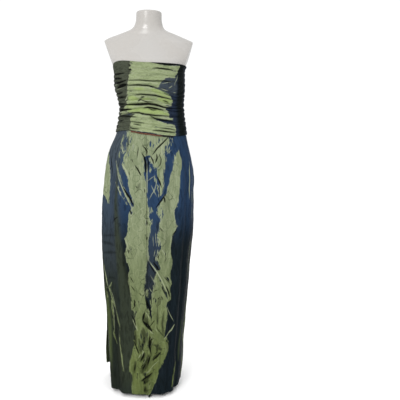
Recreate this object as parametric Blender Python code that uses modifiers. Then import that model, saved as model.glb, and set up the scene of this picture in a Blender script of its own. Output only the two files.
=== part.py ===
"""Strapless evening gown standing on a limbless dress form.

Units are metres, +Z is up and the front of the gown faces -Y.  The origin is
the centre of the base plate's underside.  Angles go round the figure: 0 is
the centre front, +90 the wearer's left side (+X), 180 the centre back and
-90 the wearer's right side.  Run it from Blender's text editor or with
blender --background --python part.py
"""

from collections import namedtuple
import math

import bmesh
import bpy
import numpy as np

COLLECTION_NAME = "evening_gown_on_dress_form"
CUTTER_COLLECTION_NAME = "cutters"

# The figure's axis stands a little in front and to the side of the pole.
AXIS_X = 0.014
AXIS_Y = -0.016

# Clearances and walls.
SEAM_GAP = 0.0003           # between two pieces that meet
SEAM_RADIUS = 0.12          # turns half that gap into an angle round the figure
HALF_GAP_ANGLE = math.degrees(SEAM_GAP / 2 / SEAM_RADIUS)
FORM_EASE = 0.0010          # from the form to the cloth that lies on it
SKIRT_WALL = 0.0015         # taffeta with its backing
BODICE_WALL = 0.0016        # backing and taffeta at the bottom of a crease
LAYER_EASE = 0.0008         # from the skirt's top to the bodice over it

# Heights above the floor.
SKIRT_TOP = 1.116           # hidden by the bodice, at the waist
SKIRT_FREE = 1.036          # below this the skirt leaves the form
SKIRT_BLEND = 0.036         # height over which it leaves the form
SLIT_TOP = 0.360
LAYER_START = 1.140         # from here down the bodice makes room for the skirt's top
LAYER_FULL = 1.122          # and here it lies wholly over it
TORSO_BOTTOM = 0.800
NECK_TOP = 1.508
NECK_RIM = 0.007            # rounding round the flat top of the neck

# Stand.
BASE_RADIUS = 0.115
BASE_HEIGHT = 0.010
BASE_CHAMFER = 0.002
HUB_RADIUS = 0.024
HUB_HEIGHT = 0.032
POLE_RADIUS = 0.0125
FLANGE_RADIUS = 0.034
FLANGE_HEIGHT = 0.008
TURN_STEPS = 32

# Mesh density.
FORM_COLUMNS = 28
ROWS_A_GATHER = 3           # rows of points from one crease to the next
SHARP_ANGLE = 40            # degrees over which an edge is shaded sharp

# The form's rings, close together where the figure curves: the top of each
# stretch and the rings in it, upwards from the bottom ring.
RingSpan = namedtuple("RingSpan", "top rings")
FORM_RINGS = (
    RingSpan(1.000, 8),
    RingSpan(1.264, 17),
    RingSpan(1.312, 9),
    RingSpan(1.380, 4),
    RingSpan(1.440, 9),
    RingSpan(NECK_TOP - NECK_RIM, 4),
)

# One row for each horizontal section, as distances from the figure's axis.
# spread is added to the right-hand side of the back only, below the slit.
Section = namedtuple("Section", "height right left front back power spread", defaults=(0.0,))

FORM_SECTIONS = (
    #       height  wearer's  wearer's front   back    power
    #               right     left
    Section(0.800, 0.146, 0.144, 0.084, 0.116, 2.20),
    Section(0.824, 0.158, 0.156, 0.095, 0.128, 2.20),
    Section(0.851, 0.1645, 0.1640, 0.102, 0.136, 2.20),
    Section(0.891, 0.1650, 0.1665, 0.108, 0.139, 2.20),
    Section(0.931, 0.1590, 0.1640, 0.110, 0.134, 2.20),
    Section(0.971, 0.1500, 0.1575, 0.110, 0.123, 2.20),
    Section(1.010, 0.1355, 0.1505, 0.107, 0.109, 2.20),
    Section(1.046, 0.1223, 0.1445, 0.102, 0.096, 2.20),
    Section(1.070, 0.1155, 0.1410, 0.097, 0.088, 2.20),
    Section(1.089, 0.1089, 0.1378, 0.093, 0.083, 2.20),
    Section(1.109, 0.1065, 0.1352, 0.091, 0.080, 2.20),
    Section(1.128, 0.1058, 0.1345, 0.0905, 0.079, 2.20),
    Section(1.148, 0.1080, 0.1355, 0.093, 0.081, 2.20),
    Section(1.168, 0.1130, 0.1374, 0.098, 0.084, 2.22),
    Section(1.187, 0.1175, 0.1390, 0.105, 0.088, 2.25),
    Section(1.207, 0.1228, 0.1402, 0.114, 0.092, 2.28),
    Section(1.230, 0.1267, 0.1407, 0.121, 0.096, 2.30),
    Section(1.257, 0.1271, 0.1408, 0.120, 0.100, 2.30),
    Section(1.276, 0.1270, 0.1410, 0.113, 0.103, 2.30),
    Section(1.286, 0.1296, 0.1416, 0.107, 0.105, 2.30),
    Section(1.296, 0.1380, 0.1480, 0.101, 0.106, 2.27),
    Section(1.312, 0.1560, 0.1610, 0.093, 0.106, 2.25),
    Section(1.330, 0.1700, 0.1740, 0.083, 0.103, 2.20),
    Section(1.360, 0.1840, 0.1840, 0.070, 0.096, 2.10),
    Section(1.384, 0.1830, 0.1830, 0.061, 0.088, 2.00),
    Section(1.394, 0.1745, 0.1725, 0.057, 0.083, 1.90),
    Section(1.401, 0.1650, 0.1570, 0.055, 0.080, 1.85),
    Section(1.409, 0.1500, 0.1380, 0.053, 0.076, 1.85),
    Section(1.417, 0.1270, 0.1195, 0.051, 0.073, 1.85),
    Section(1.424, 0.1080, 0.1025, 0.050, 0.070, 1.90),
    Section(1.432, 0.0850, 0.0815, 0.049, 0.067, 1.95),
    Section(1.440, 0.0670, 0.0680, 0.048, 0.064, 2.00),
    Section(1.449, 0.0560, 0.0615, 0.048, 0.061, 2.00),
    Section(1.460, 0.0497, 0.0580, 0.049, 0.057, 2.00),
    Section(1.480, 0.0450, 0.0552, 0.051, 0.052, 2.00),
    Section(1.508, 0.0437, 0.0550, 0.053, 0.047, 2.00),
)

SKIRT_SECTIONS = (
    Section(0.004, 0.1610, 0.1145, 0.135, 0.196, 2.30, 0.072),
    Section(0.103, 0.1675, 0.1264, 0.135, 0.187, 2.25, 0.042),
    Section(0.188, 0.1710, 0.1297, 0.135, 0.178, 2.20, 0.021),
    Section(0.273, 0.1745, 0.1370, 0.135, 0.170, 2.20, 0.008),
    Section(0.358, 0.1795, 0.1442, 0.135, 0.163, 2.20),
    Section(0.441, 0.1865, 0.1522, 0.134, 0.158, 2.20),
    Section(0.524, 0.1895, 0.1579, 0.133, 0.155, 2.20),
    Section(0.586, 0.1915, 0.1637, 0.132, 0.154, 2.20),
    Section(0.648, 0.1920, 0.1712, 0.131, 0.154, 2.20),
    Section(0.709, 0.1905, 0.1737, 0.130, 0.154, 2.20),
    Section(0.770, 0.1875, 0.1734, 0.129, 0.154, 2.20),
    Section(0.810, 0.1825, 0.1727, 0.128, 0.154, 2.20),
    Section(0.851, 0.1765, 0.1743, 0.127, 0.153, 2.20),
    Section(0.891, 0.1712, 0.1725, 0.126, 0.150, 2.20),
    Section(0.931, 0.1640, 0.1695, 0.124, 0.144, 2.20),
    Section(0.971, 0.1553, 0.1622, 0.120, 0.133, 2.20),
    Section(1.010, 0.1400, 0.1540, 0.112, 0.115, 2.20),
    Section(1.036, 0.1275, 0.1480, 0.105, 0.101, 2.20),
)

# Soft folds of the skirt, one row each.  The fold's line runs from angle_top
# to angle_hem, it rises height metres (negative for a trough), and fades out
# over FOLD_FADE metres at each end of its stretch from bottom to top.
Fold = namedtuple("Fold", "angle_top angle_hem top bottom height half_width")
FOLD_FADE = 0.16

SKIRT_FOLDS = (
    #    angle at top, hem   top    bottom  height  half width in degrees
    Fold(-67, -64, 1.02, -0.20, 0.0060, 10),
    Fold(-51, -49, 0.98, -0.20, -0.0075, 11),
    Fold(-33, -32, 1.02, -0.20, 0.0080, 12),
    Fold(-14, -12, 0.62, 0.16, 0.0040, 9),
    Fold(0, 0, 0.98, 0.42, -0.0060, 8),
    Fold(17, 14, 0.98, 0.46, 0.0060, 8),
    Fold(12, 8, 0.52, -0.20, -0.0075, 9),
    Fold(31, 27, 1.01, 0.52, -0.0070, 9),
    Fold(29, 26, 0.50, -0.20, 0.0070, 10),
    Fold(48, 44, 1.03, -0.20, 0.0090, 12),
    Fold(62, 60, 0.96, -0.20, -0.0060, 9),
    Fold(98, 100, 0.98, -0.20, 0.0070, 12),
    Fold(119, 122, 0.94, -0.20, -0.0075, 12),
    Fold(140, 143, 1.00, -0.20, 0.0080, 13),
    Fold(163, 165, 0.92, -0.20, -0.0070, 12),
    Fold(186, 188, 1.00, -0.20, 0.0080, 13),
    Fold(208, 208, 0.94, -0.20, -0.0075, 12),
    Fold(229, 226, 0.99, -0.20, 0.0075, 12),
    Fold(251, 246, 0.92, 0.30, -0.0060, 11),
)

# Creases of the ruched bodice, one row each: the heights at which a crease
# passes the stations below, and how far the gather under it puffs out.
CREASE_STATIONS = (-90, -34, -3, 20, 50, 95, 140, 187, 230, 270)
Crease = namedtuple("Crease", "side_right seam_right front_right front_left seam_left "
                              "side_left back_left back back_right side_right_again puff")

BODICE_CREASES = (
    Crease(1.281, 1.3125, 1.3055, 1.3030, 1.3010, 1.296, 1.288, 1.284, 1.282, 1.281, 0.0022),
    Crease(1.262, 1.2870, 1.2830, 1.2775, 1.2730, 1.274, 1.270, 1.268, 1.264, 1.262, 0.0020),
    Crease(1.247, 1.2620, 1.2610, 1.2570, 1.2520, 1.256, 1.250, 1.249, 1.248, 1.247, 0.0022),
    Crease(1.232, 1.2380, 1.2365, 1.2325, 1.2290, 1.235, 1.233, 1.228, 1.231, 1.232, 0.0026),
    Crease(1.214, 1.2170, 1.2155, 1.2035, 1.1850, 1.216, 1.212, 1.211, 1.210, 1.214, 0.0030),
    Crease(1.193, 1.1980, 1.1980, 1.1895, 1.1750, 1.193, 1.195, 1.190, 1.192, 1.193, 0.0026),
    Crease(1.177, 1.1800, 1.1840, 1.1755, 1.1640, 1.176, 1.173, 1.174, 1.172, 1.177, 0.0028),
    Crease(1.159, 1.1640, 1.1670, 1.1565, 1.1450, 1.158, 1.157, 1.154, 1.158, 1.159, 0.0034),
    Crease(1.141, 1.1490, 1.1540, 1.1425, 1.1340, 1.139, 1.138, 1.139, 1.137, 1.141, 0.0040),
    Crease(1.122, 1.1280, 1.1345, 1.1295, 1.1220, 1.122, 1.121, 1.118, 1.120, 1.122, 0.0036),
    Crease(1.106, 1.1165, 1.1115, 1.1050, 1.1010, 1.104, 1.102, 1.103, 1.101, 1.106, 0.0032),
    Crease(1.088, 1.0990, 1.0970, 1.0865, 1.0790, 1.087, 1.086, 1.083, 1.086, 1.088, 0.0028),
    Crease(1.071, 1.0830, 1.0755, 1.0680, 1.0620, 1.069, 1.067, 1.066, 1.069, 1.071, 0.0024),
    Crease(1.056, 1.0660, 1.0560, 1.0470, 1.0435, 1.051, 1.051, 1.048, 1.052, 1.056, 0.0020),
    Crease(1.043, 1.0500, 1.0405, 1.0320, 1.0285, 1.034, 1.034, 1.033, 1.037, 1.043, 0.0),
)

# Angles of the bodice's seams at a few heights; the front panel is narrowest
# at the waist.
SeamRow = namedtuple("SeamRow", "height front_right front_left back_left back_right")
BODICE_SEAMS = (
    SeamRow(1.030, -27, 45, 140, 232),
    SeamRow(1.085, -30, 42, 146, 228),
    SeamRow(1.130, -40, 40, 150, 225),
    SeamRow(1.170, -35, 41, 147, 227),
    SeamRow(1.220, -30, 46, 143, 231),
    SeamRow(1.320, -19, 60, 140, 235),
)
PUFF_FULLNESS = 0.7         # below 1 the gathers are fuller than a half sine
# Columns of points in each bodice panel.
BODICE_FRONT_COLUMNS = 10
BODICE_SIDE_COLUMNS = 9
BODICE_BACK_COLUMNS = 9

# Seams of the skirt and the columns of points between them.
SKIRT_SEAM_RIGHT = -88
SKIRT_SEAM_FRONT = 0
SKIRT_SEAM_LEFT = 72
SKIRT_RIGHT_COLUMNS = 16
SKIRT_LEFT_COLUMNS = 15
SKIRT_BACK_COLUMNS = 28
SKIRT_LOW_ROWS = 14         # from the hem to the hip
SKIRT_HIGH_ROWS = 10        # from the hip to the top
SKIRT_HIP = 0.90

# Hem heights at a few angles, and the corner that hangs at the front seam.
HemRow = namedtuple("HemRow", "angle height")
SKIRT_HEM = (
    HemRow(-90, 0.017),
    HemRow(-60, 0.015),
    HemRow(0, 0.015),
    HemRow(60, 0.017),
    HemRow(100, 0.020),
    HemRow(180, 0.028),
    HemRow(230, 0.044),
    HemRow(280, 0.058),
)
HEM_CORNER_DROP = 0.011
HEM_CORNER_ANGLE = 4.0      # degrees from the front seam to the corner's end
HEM_CORNER_FLAT = 0.35      # share of that at the corner's full depth

# The back panel swings away from the front one below the slit.
SLIT_EDGE_TURN = 35         # degrees that its edge stands back at the hem
SLIT_KICK = 0.024           # outward swing of that edge
SLIT_KICK_WIDTH = 45        # degrees over which the swing fades
SLIT_CURVE = 1.3            # over 1 the slit opens slowly at its top

# The edge that shows under the bodice's front panel.
STRIP_HEIGHT = 0.0032
STRIP_WALL = 0.0012
STRIP_START = -26
STRIP_END = 41
STRIP_COLUMNS = 12

# Arm cuts of the form: a point on the cut's plane, its lean from the
# vertical and its turn towards the front, in degrees.
ArmCut = namedtuple("ArmCut", "side x height lean turn")
ARM_CUTS = (
    ArmCut(-1, 0.1325, 1.292, 19.5, 8.0),
    ArmCut(1, 0.1440, 1.296, 18.5, 1.0),
)
CUTTER_SIZE = 0.30


# ---------------------------------------------------------------- tools ----

def smooth_curve(known_x, known_y, x):
    """Cubic through the known points that never overshoots them."""
    known_x = np.asarray(known_x, dtype=float)
    known_y = np.asarray(known_y, dtype=float)
    steps = np.diff(known_x)
    slopes = np.diff(known_y) / steps
    tangents = np.zeros_like(known_y)
    same_way = slopes[:-1] * slopes[1:] > 0
    weight_a = 2 * steps[1:] + steps[:-1]
    weight_b = steps[1:] + 2 * steps[:-1]
    safe_a = np.where(same_way, slopes[:-1], 1.0)
    safe_b = np.where(same_way, slopes[1:], 1.0)
    harmonic = (weight_a + weight_b) / (weight_a / safe_a + weight_b / safe_b)
    tangents[1:-1] = np.where(same_way, harmonic, 0.0)
    tangents[0] = slopes[0]
    tangents[-1] = slopes[-1]
    x = np.clip(x, known_x[0], known_x[-1])
    index = np.clip(np.searchsorted(known_x, x, side="right") - 1, 0, len(steps) - 1)
    step = steps[index]
    t = (x - known_x[index]) / step
    return (known_y[index] * (1 + 2 * t) * (1 - t) ** 2
            + known_y[index + 1] * t * t * (3 - 2 * t)
            + step * tangents[index] * t * (1 - t) ** 2
            - step * tangents[index + 1] * t * t * (1 - t))


def smooth_step(low, high, x):
    """0 below low, 1 above high and a soft change between them."""
    t = np.clip((x - low) / (high - low), 0.0, 1.0)
    return t * t * (3 - 2 * t)


def section_value(sections, name, height):
    """One column of a section table, read at any height."""
    heights = [row.height for row in sections]
    values = [getattr(row, name) for row in sections]
    return smooth_curve(heights, values, height)


def section_surface(sections, angle, height):
    """Points and outward normals of the lofted sections.

    Each quarter of a section is a superellipse from the half-width on its
    side to the depth in front or behind.
    """
    turn = np.radians(angle)
    sine = np.sin(turn)
    cosine = np.cos(turn)
    power = section_value(sections, "power", height)
    right_side = section_value(sections, "right", height)
    right_side = right_side + np.where(cosine < 0, section_value(sections, "spread", height), 0.0)
    width = np.where(sine < 0, right_side, section_value(sections, "left", height))
    depth = np.where(cosine > 0, section_value(sections, "front", height),
                     section_value(sections, "back", height))
    x = np.sign(sine) * np.abs(sine) ** (2 / power)
    y = -np.sign(cosine) * np.abs(cosine) ** (2 / power)
    normal_x = np.sign(x) * np.abs(x) ** (power - 1) / width
    normal_y = np.sign(y) * np.abs(y) ** (power - 1) / depth
    length = np.hypot(normal_x, normal_y)
    points = np.stack([AXIS_X + x * width, AXIS_Y + y * depth, height + 0 * x], axis=-1)
    normals = np.stack([normal_x / length, normal_y / length, 0 * x], axis=-1)
    return points, normals


def plain_material(name, colour, roughness, metallic):
    """A Principled material of one colour."""
    material = bpy.data.materials.new(name)
    material.use_nodes = True
    shader = material.node_tree.nodes["Principled BSDF"]
    shader.inputs["Base Color"].default_value = (*colour, 1.0)
    shader.inputs["Roughness"].default_value = roughness
    shader.inputs["Metallic"].default_value = metallic
    material.diffuse_color = (*colour, 1.0)
    return material


def add_object(name, mesh, collection, material):
    """Link a mesh to the scene as a named, smooth-shaded object."""
    piece = bpy.data.objects.new(name, mesh)
    collection.objects.link(piece)
    mesh.materials.append(material)
    mesh.shade_smooth()
    mesh.set_sharp_from_angle(angle=math.radians(SHARP_ANGLE))
    return piece


def grid_faces(rows, columns, first=0):
    """Quads over a grid of points stored row by row."""
    row, column = np.meshgrid(np.arange(rows - 1), np.arange(columns - 1), indexing="ij")
    corner = first + row * columns + column
    quads = np.stack([corner, corner + 1, corner + columns + 1, corner + columns], axis=-1)
    return quads.reshape(-1, 4).tolist()


def mesh_from(name, points, faces):
    """A mesh of any array of points and the faces between them."""
    mesh = bpy.data.meshes.new(name)
    mesh.from_pydata(points.reshape(-1, 3).tolist(), [], faces)
    mesh.update()
    return mesh


def add_solidify(piece, thickness):
    """Give an open surface its wall, half to each side."""
    wall = piece.modifiers.new("wall", "SOLIDIFY")
    wall.thickness = thickness
    wall.offset = 0.0
    wall.use_rim = True


def rim_loop(rows, columns):
    """Indices round the edge of a grid, anticlockwise seen from outside."""
    bottom = list(range(columns))
    right = [row * columns + columns - 1 for row in range(1, rows)]
    top = [(rows - 1) * columns + column for column in range(columns - 2, -1, -1)]
    left = [row * columns for row in range(rows - 2, 0, -1)]
    return bottom + right + top + left


def relief_wall_mesh(name, inner, outer):
    """A wall with a plain inside and a worked outside, closed round its rim."""
    rows, columns = outer.shape[:2]
    count = rows * columns
    faces = grid_faces(rows, columns)
    faces += [quad[::-1] for quad in grid_faces(rows, columns, count)]
    loop = rim_loop(rows, columns)
    for here, there in zip(loop, loop[1:] + loop[:1]):
        faces.append([there, here, here + count, there + count])
    points = np.concatenate([outer.reshape(-1, 3), inner.reshape(-1, 3)])
    return mesh_from(name, points, faces)


# ----------------------------------------------------------- dress form ----

def torso_heights():
    """Heights of the form's rings, from the bottom up."""
    heights = [TORSO_BOTTOM]
    for span in FORM_RINGS:
        heights += list(np.linspace(heights[-1], span.top, span.rings + 1)[1:])
    return heights


def build_torso(collection, cutters, material):
    """Rings lofted from hip to neck, closed flat at both ends, arms cut off."""
    heights = torso_heights()
    angles = np.arange(FORM_COLUMNS) * 360.0 / FORM_COLUMNS
    angle, height = np.meshgrid(angles, heights)
    rings, normals = section_surface(FORM_SECTIONS, angle, height)
    rim_turns = np.radians([30.0, 60.0, 90.0])
    rim = [rings[-1] - normals[-1] * NECK_RIM * (1 - math.cos(turn))
           + np.array([0.0, 0.0, NECK_RIM * math.sin(turn)]) for turn in rim_turns]
    rings = np.concatenate([rings, np.array(rim)])
    row_count = len(rings)
    faces = []
    for row in range(row_count - 1):
        for column in range(FORM_COLUMNS):
            beside = (column + 1) % FORM_COLUMNS
            faces.append([row * FORM_COLUMNS + column, row * FORM_COLUMNS + beside,
                          (row + 1) * FORM_COLUMNS + beside, (row + 1) * FORM_COLUMNS + column])
    faces.append(list(range(FORM_COLUMNS))[::-1])
    faces.append([(row_count - 1) * FORM_COLUMNS + column for column in range(FORM_COLUMNS)])
    torso = add_object("form_torso", mesh_from("form_torso", rings, faces), collection, material)
    for cut in ARM_CUTS:
        cutter = add_arm_cutter(cutters, cut)
        modifier = torso.modifiers.new(cutter.name, "BOOLEAN")
        modifier.operation = "DIFFERENCE"
        modifier.solver = "EXACT"
        modifier.object = cutter


def add_arm_cutter(cutters, cut):
    """A box whose inner face is the plane of one arm cut."""
    mesh = bpy.data.meshes.new("arm_cutter")
    box = bmesh.new()
    bmesh.ops.create_cube(box, size=CUTTER_SIZE)
    bmesh.ops.translate(box, verts=box.verts, vec=(cut.side * CUTTER_SIZE / 2, 0.0, 0.0))
    box.to_mesh(mesh)
    box.free()
    side_name = "right" if cut.side < 0 else "left"
    cutter = bpy.data.objects.new("arm_cutter_" + side_name, mesh)
    cutters.objects.link(cutter)
    cutter.location = (AXIS_X + cut.side * cut.x, AXIS_Y, cut.height)
    cutter.rotation_euler = (0.0, cut.side * math.radians(cut.lean),
                             -cut.side * math.radians(cut.turn))
    cutter.hide_render = True
    cutter.display_type = "WIRE"
    return cutter


def build_turned(name, profile, collection, material):
    """Turn a profile, listed down its outer side, round the Z axis."""
    mesh = bpy.data.meshes.new(name)
    points = [(radius, 0.0, height) for radius, height in profile]
    edges = [(index, index + 1) for index in range(len(points) - 1)]
    mesh.from_pydata(points, edges, [])
    piece = add_object(name, mesh, collection, material)
    screw = piece.modifiers.new("turn", "SCREW")
    screw.steps = TURN_STEPS
    screw.render_steps = TURN_STEPS
    screw.use_merge_vertices = True
    screw.merge_threshold = 0.00001


def build_stand(collection, material):
    """A chamfered plate with a hub, and a pole with a flange on it."""
    plate_edge = BASE_RADIUS - BASE_CHAMFER
    build_turned("form_base", (
        (0.0, HUB_HEIGHT),
        (HUB_RADIUS - BASE_CHAMFER, HUB_HEIGHT),
        (HUB_RADIUS, HUB_HEIGHT - BASE_CHAMFER),
        (HUB_RADIUS, BASE_HEIGHT),
        (plate_edge, BASE_HEIGHT),
        (BASE_RADIUS, BASE_HEIGHT - BASE_CHAMFER),
        (BASE_RADIUS, 0.0),
        (0.0, 0.0)), collection, material)
    pole_top = TORSO_BOTTOM - SEAM_GAP
    pole_foot = HUB_HEIGHT + SEAM_GAP
    build_turned("form_pole", (
        (0.0, pole_top),
        (FLANGE_RADIUS, pole_top),
        (FLANGE_RADIUS, pole_top - FLANGE_HEIGHT),
        (POLE_RADIUS, pole_top - 2 * FLANGE_HEIGHT),
        (POLE_RADIUS, pole_foot),
        (0.0, pole_foot)), collection, material)


# --------------------------------------------------------------- bodice ----

def crease_height(crease, angle):
    """Height at which a crease passes any angle round the bodice."""
    heights = list(crease[:-1])
    wrapped = (np.asarray(angle) + 90.0) % 360.0 - 90.0
    return smooth_curve(CREASE_STATIONS, heights, wrapped)


def bodice_seam_angle(name, height):
    """Angle of one of the bodice's seams at any height."""
    heights = [row.height for row in BODICE_SEAMS]
    angles = [getattr(row, name) for row in BODICE_SEAMS]
    return smooth_curve(heights, angles, height)


def bodice_rows():
    """Crease number and share of the way to the next crease, top to bottom."""
    rows = []
    for crease in range(len(BODICE_CREASES) - 1):
        rows += [(crease, step / ROWS_A_GATHER) for step in range(ROWS_A_GATHER)]
    rows.append((len(BODICE_CREASES) - 2, 1.0))
    return rows[::-1]


def bodice_inside(height):
    """Distance from the form to the bodice: the skirt's top lies between."""
    over_skirt = 2 * LAYER_EASE + SKIRT_WALL + FORM_EASE
    return FORM_EASE + (over_skirt - FORM_EASE) * smooth_step(LAYER_START, LAYER_FULL, height)


def build_bodice_panel(name, start, end, columns, collection, material):
    """A panel between two seams, its outside puffed out between creases."""
    inner = []
    outer = []
    for crease, share in bodice_rows():
        above = BODICE_CREASES[crease]
        below = BODICE_CREASES[crease + 1]
        middle = (crease_height(above, 0.0) * (1 - share) + crease_height(below, 0.0) * share)
        first = start(middle) + HALF_GAP_ANGLE
        last = end(middle) - HALF_GAP_ANGLE
        angle = np.linspace(first, last, columns + 1)
        height = crease_height(above, angle) * (1 - share) + crease_height(below, angle) * share
        points, normals = section_surface(FORM_SECTIONS, angle, height)
        inside = bodice_inside(height)
        puff = above.puff * math.sin(math.pi * share) ** PUFF_FULLNESS
        inner.append(points + normals * inside[:, None])
        outer.append(points + normals * (inside + BODICE_WALL + puff)[:, None])
    mesh = relief_wall_mesh(name, np.array(inner), np.array(outer))
    return add_object(name, mesh, collection, material)


def build_bodice(collection, material):
    """Front, two sides and back, between seams that follow the figure."""
    def seam(name, turn=0.0):
        return lambda height: bodice_seam_angle(name, height) + turn

    build_bodice_panel("bodice_front", seam("front_right"), seam("front_left"),
                       BODICE_FRONT_COLUMNS, collection, material)
    build_bodice_panel("bodice_side_left", seam("front_left"), seam("back_left"),
                       BODICE_SIDE_COLUMNS, collection, material)
    build_bodice_panel("bodice_back", seam("back_left"), seam("back_right"),
                       BODICE_BACK_COLUMNS, collection, material)
    build_bodice_panel("bodice_side_right", seam("back_right"), seam("front_right", 360.0),
                       BODICE_SIDE_COLUMNS, collection, material)


def build_edge_strip(collection, material):
    """The narrow edge that shows below the bodice's front panel."""
    angle = np.linspace(STRIP_START, STRIP_END, STRIP_COLUMNS + 1)
    top = crease_height(BODICE_CREASES[-1], angle) - SEAM_GAP
    middle = (bodice_inside(top) + BODICE_WALL / 2)[:, None]
    rows = []
    for height in (top - STRIP_HEIGHT, top):
        points, normals = section_surface(FORM_SECTIONS, angle, height)
        rows.append(points + normals * middle)
    points = np.array(rows)
    mesh = mesh_from("bodice_edge_strip", points, grid_faces(2, STRIP_COLUMNS + 1))
    strip = add_object("bodice_edge_strip", mesh, collection, material)
    add_solidify(strip, STRIP_WALL)


# ---------------------------------------------------------------- skirt ----

def fold_relief(angle, height):
    """Sum of the skirt's soft folds at each point."""
    relief = np.zeros(np.broadcast(angle, height).shape)
    for fold in SKIRT_FOLDS:
        down = np.clip((SKIRT_FREE - height) / SKIRT_FREE, 0.0, 1.0)
        line = fold.angle_top + (fold.angle_hem - fold.angle_top) * down
        across = np.clip((angle - line) / fold.half_width, -1.0, 1.0)
        shape = np.cos(across * math.pi / 2) ** 2
        start = smooth_step(fold.top, fold.top - FOLD_FADE, height)
        stop = smooth_step(fold.bottom, fold.bottom + FOLD_FADE, height)
        relief += fold.height * shape * start * stop
    return relief


def slit_opening(height):
    """0 at the slit's top, 1 at the hem."""
    share = np.clip((SLIT_TOP - height) / SLIT_TOP, 0.0, 1.0)
    return share ** SLIT_CURVE


def slit_edge_angle(height):
    """Angle of the back panel's edge on the slit side."""
    return 360.0 + SKIRT_SEAM_RIGHT - SLIT_EDGE_TURN * slit_opening(height)


def skirt_surface(angle, height):
    """The middle of the skirt's wall: on the form at the waist, free below."""
    on_form, form_normals = section_surface(FORM_SECTIONS, angle, np.maximum(height, TORSO_BOTTOM))
    on_form = on_form + form_normals * (FORM_EASE + SKIRT_WALL / 2)
    free, normals = section_surface(SKIRT_SECTIONS, angle, height)
    free = free + normals * fold_relief(angle, height)[..., None]
    worn = smooth_step(SKIRT_FREE - SKIRT_BLEND, SKIRT_FREE, height)[..., None]
    return on_form * worn + free * (1 - worn), normals


def hem_height(angle):
    """Height of the skirt's lower edge at any angle."""
    angles = [row.angle for row in SKIRT_HEM]
    heights = [row.height for row in SKIRT_HEM]
    return smooth_curve(angles, heights, angle)


def skirt_shares():
    """Rows as shares of the way from the hem to the hip and to the top."""
    low = [("low", step / SKIRT_LOW_ROWS) for step in range(SKIRT_LOW_ROWS)]
    high = [("high", step / SKIRT_HIGH_ROWS) for step in range(SKIRT_HIGH_ROWS + 1)]
    return low + high


def build_skirt_panel(name, edges, columns, hem_drop, kick, collection, material):
    """A panel between two edges, given as functions of height."""
    rows = []
    for part, share in skirt_shares():
        guess = SKIRT_HIP * share if part == "low" else SKIRT_HIP + (SKIRT_TOP - SKIRT_HIP) * share
        first = edges[0](guess) + HALF_GAP_ANGLE
        last = edges[1](guess) - HALF_GAP_ANGLE
        angle = columns(first, last)
        if part == "low":
            hem = hem_height(angle) - hem_drop(angle)
            height = hem + (SKIRT_HIP - hem) * share
        else:
            height = guess + 0 * angle
        points, normals = skirt_surface(angle, height)
        points = points + normals * kick(angle, height)[..., None]
        rows.append(points)
    points = np.array(rows)
    faces = grid_faces(points.shape[0], points.shape[1])
    panel = add_object(name, mesh_from(name, points, faces), collection, material)
    add_solidify(panel, SKIRT_WALL)


def build_skirt(collection, material):
    """Two front panels joined at the centre, and the back panel."""
    def fixed(angle):
        return lambda height: angle

    def even(count):
        return lambda first, last: np.linspace(first, last, count + 1)

    def with_corner(count):
        corner = HEM_CORNER_ANGLE * np.array([0.0, HEM_CORNER_FLAT, 1.0])
        return lambda first, last: np.concatenate(
            [first + corner, np.linspace(first + HEM_CORNER_ANGLE, last, count - 1)[1:]])

    def no_drop(angle):
        return 0.0 * angle

    def corner_drop(angle):
        reach = angle / HEM_CORNER_ANGLE
        return HEM_CORNER_DROP * np.clip((1 - reach) / (1 - HEM_CORNER_FLAT), 0.0, 1.0)

    def no_kick(angle, height):
        return 0.0 * angle

    def slit_kick(angle, height):
        edge = slit_edge_angle(height)
        near = np.clip(1 - (edge - angle) / SLIT_KICK_WIDTH, 0.0, 1.0)
        return SLIT_KICK * slit_opening(height) * near ** 2

    build_skirt_panel("skirt_front_right", (fixed(SKIRT_SEAM_RIGHT), fixed(SKIRT_SEAM_FRONT)),
                      even(SKIRT_RIGHT_COLUMNS), no_drop, no_kick, collection, material)
    build_skirt_panel("skirt_front_left", (fixed(SKIRT_SEAM_FRONT), fixed(SKIRT_SEAM_LEFT)),
                      with_corner(SKIRT_LEFT_COLUMNS), corner_drop, no_kick, collection, material)
    build_skirt_panel("skirt_back", (fixed(SKIRT_SEAM_LEFT), slit_edge_angle),
                      even(SKIRT_BACK_COLUMNS), no_drop, slit_kick, collection, material)


# ----------------------------------------------------------------- main ----

def main():
    """Empty the scene and build the form, its stand and the gown."""
    for item in list(bpy.data.objects):
        bpy.data.objects.remove(item, do_unlink=True)
    collection = bpy.data.collections.new(COLLECTION_NAME)
    cutters = bpy.data.collections.new(CUTTER_COLLECTION_NAME)
    bpy.context.scene.collection.children.link(collection)
    bpy.context.scene.collection.children.link(cutters)

    moulded = plain_material("moulded_form", (0.66, 0.63, 0.60), 0.25, 0.0)
    enamel = plain_material("enamelled_steel", (0.60, 0.58, 0.55), 0.35, 0.0)
    bodice = plain_material("ruched_taffeta", (0.25, 0.36, 0.16), 0.40, 0.2)
    skirt = plain_material("shot_taffeta", (0.16, 0.24, 0.16), 0.40, 0.2)
    edging = plain_material("edge_strip", (0.16, 0.05, 0.03), 0.60, 0.0)

    build_torso(collection, cutters, moulded)
    build_stand(collection, enamel)
    build_bodice(collection, bodice)
    build_edge_strip(collection, edging)
    build_skirt(collection, skirt)


main()
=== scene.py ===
"""Looks of a strapless evening gown on a limbless dress form.

Units are metres, +Z is up and the front of the gown faces -Y.  Angles go
round the figure: 0 is the centre front, +90 the wearer's left side (+X), 180
the centre back and -90 the wearer's right side.
"""

from collections import namedtuple
import math

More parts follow.
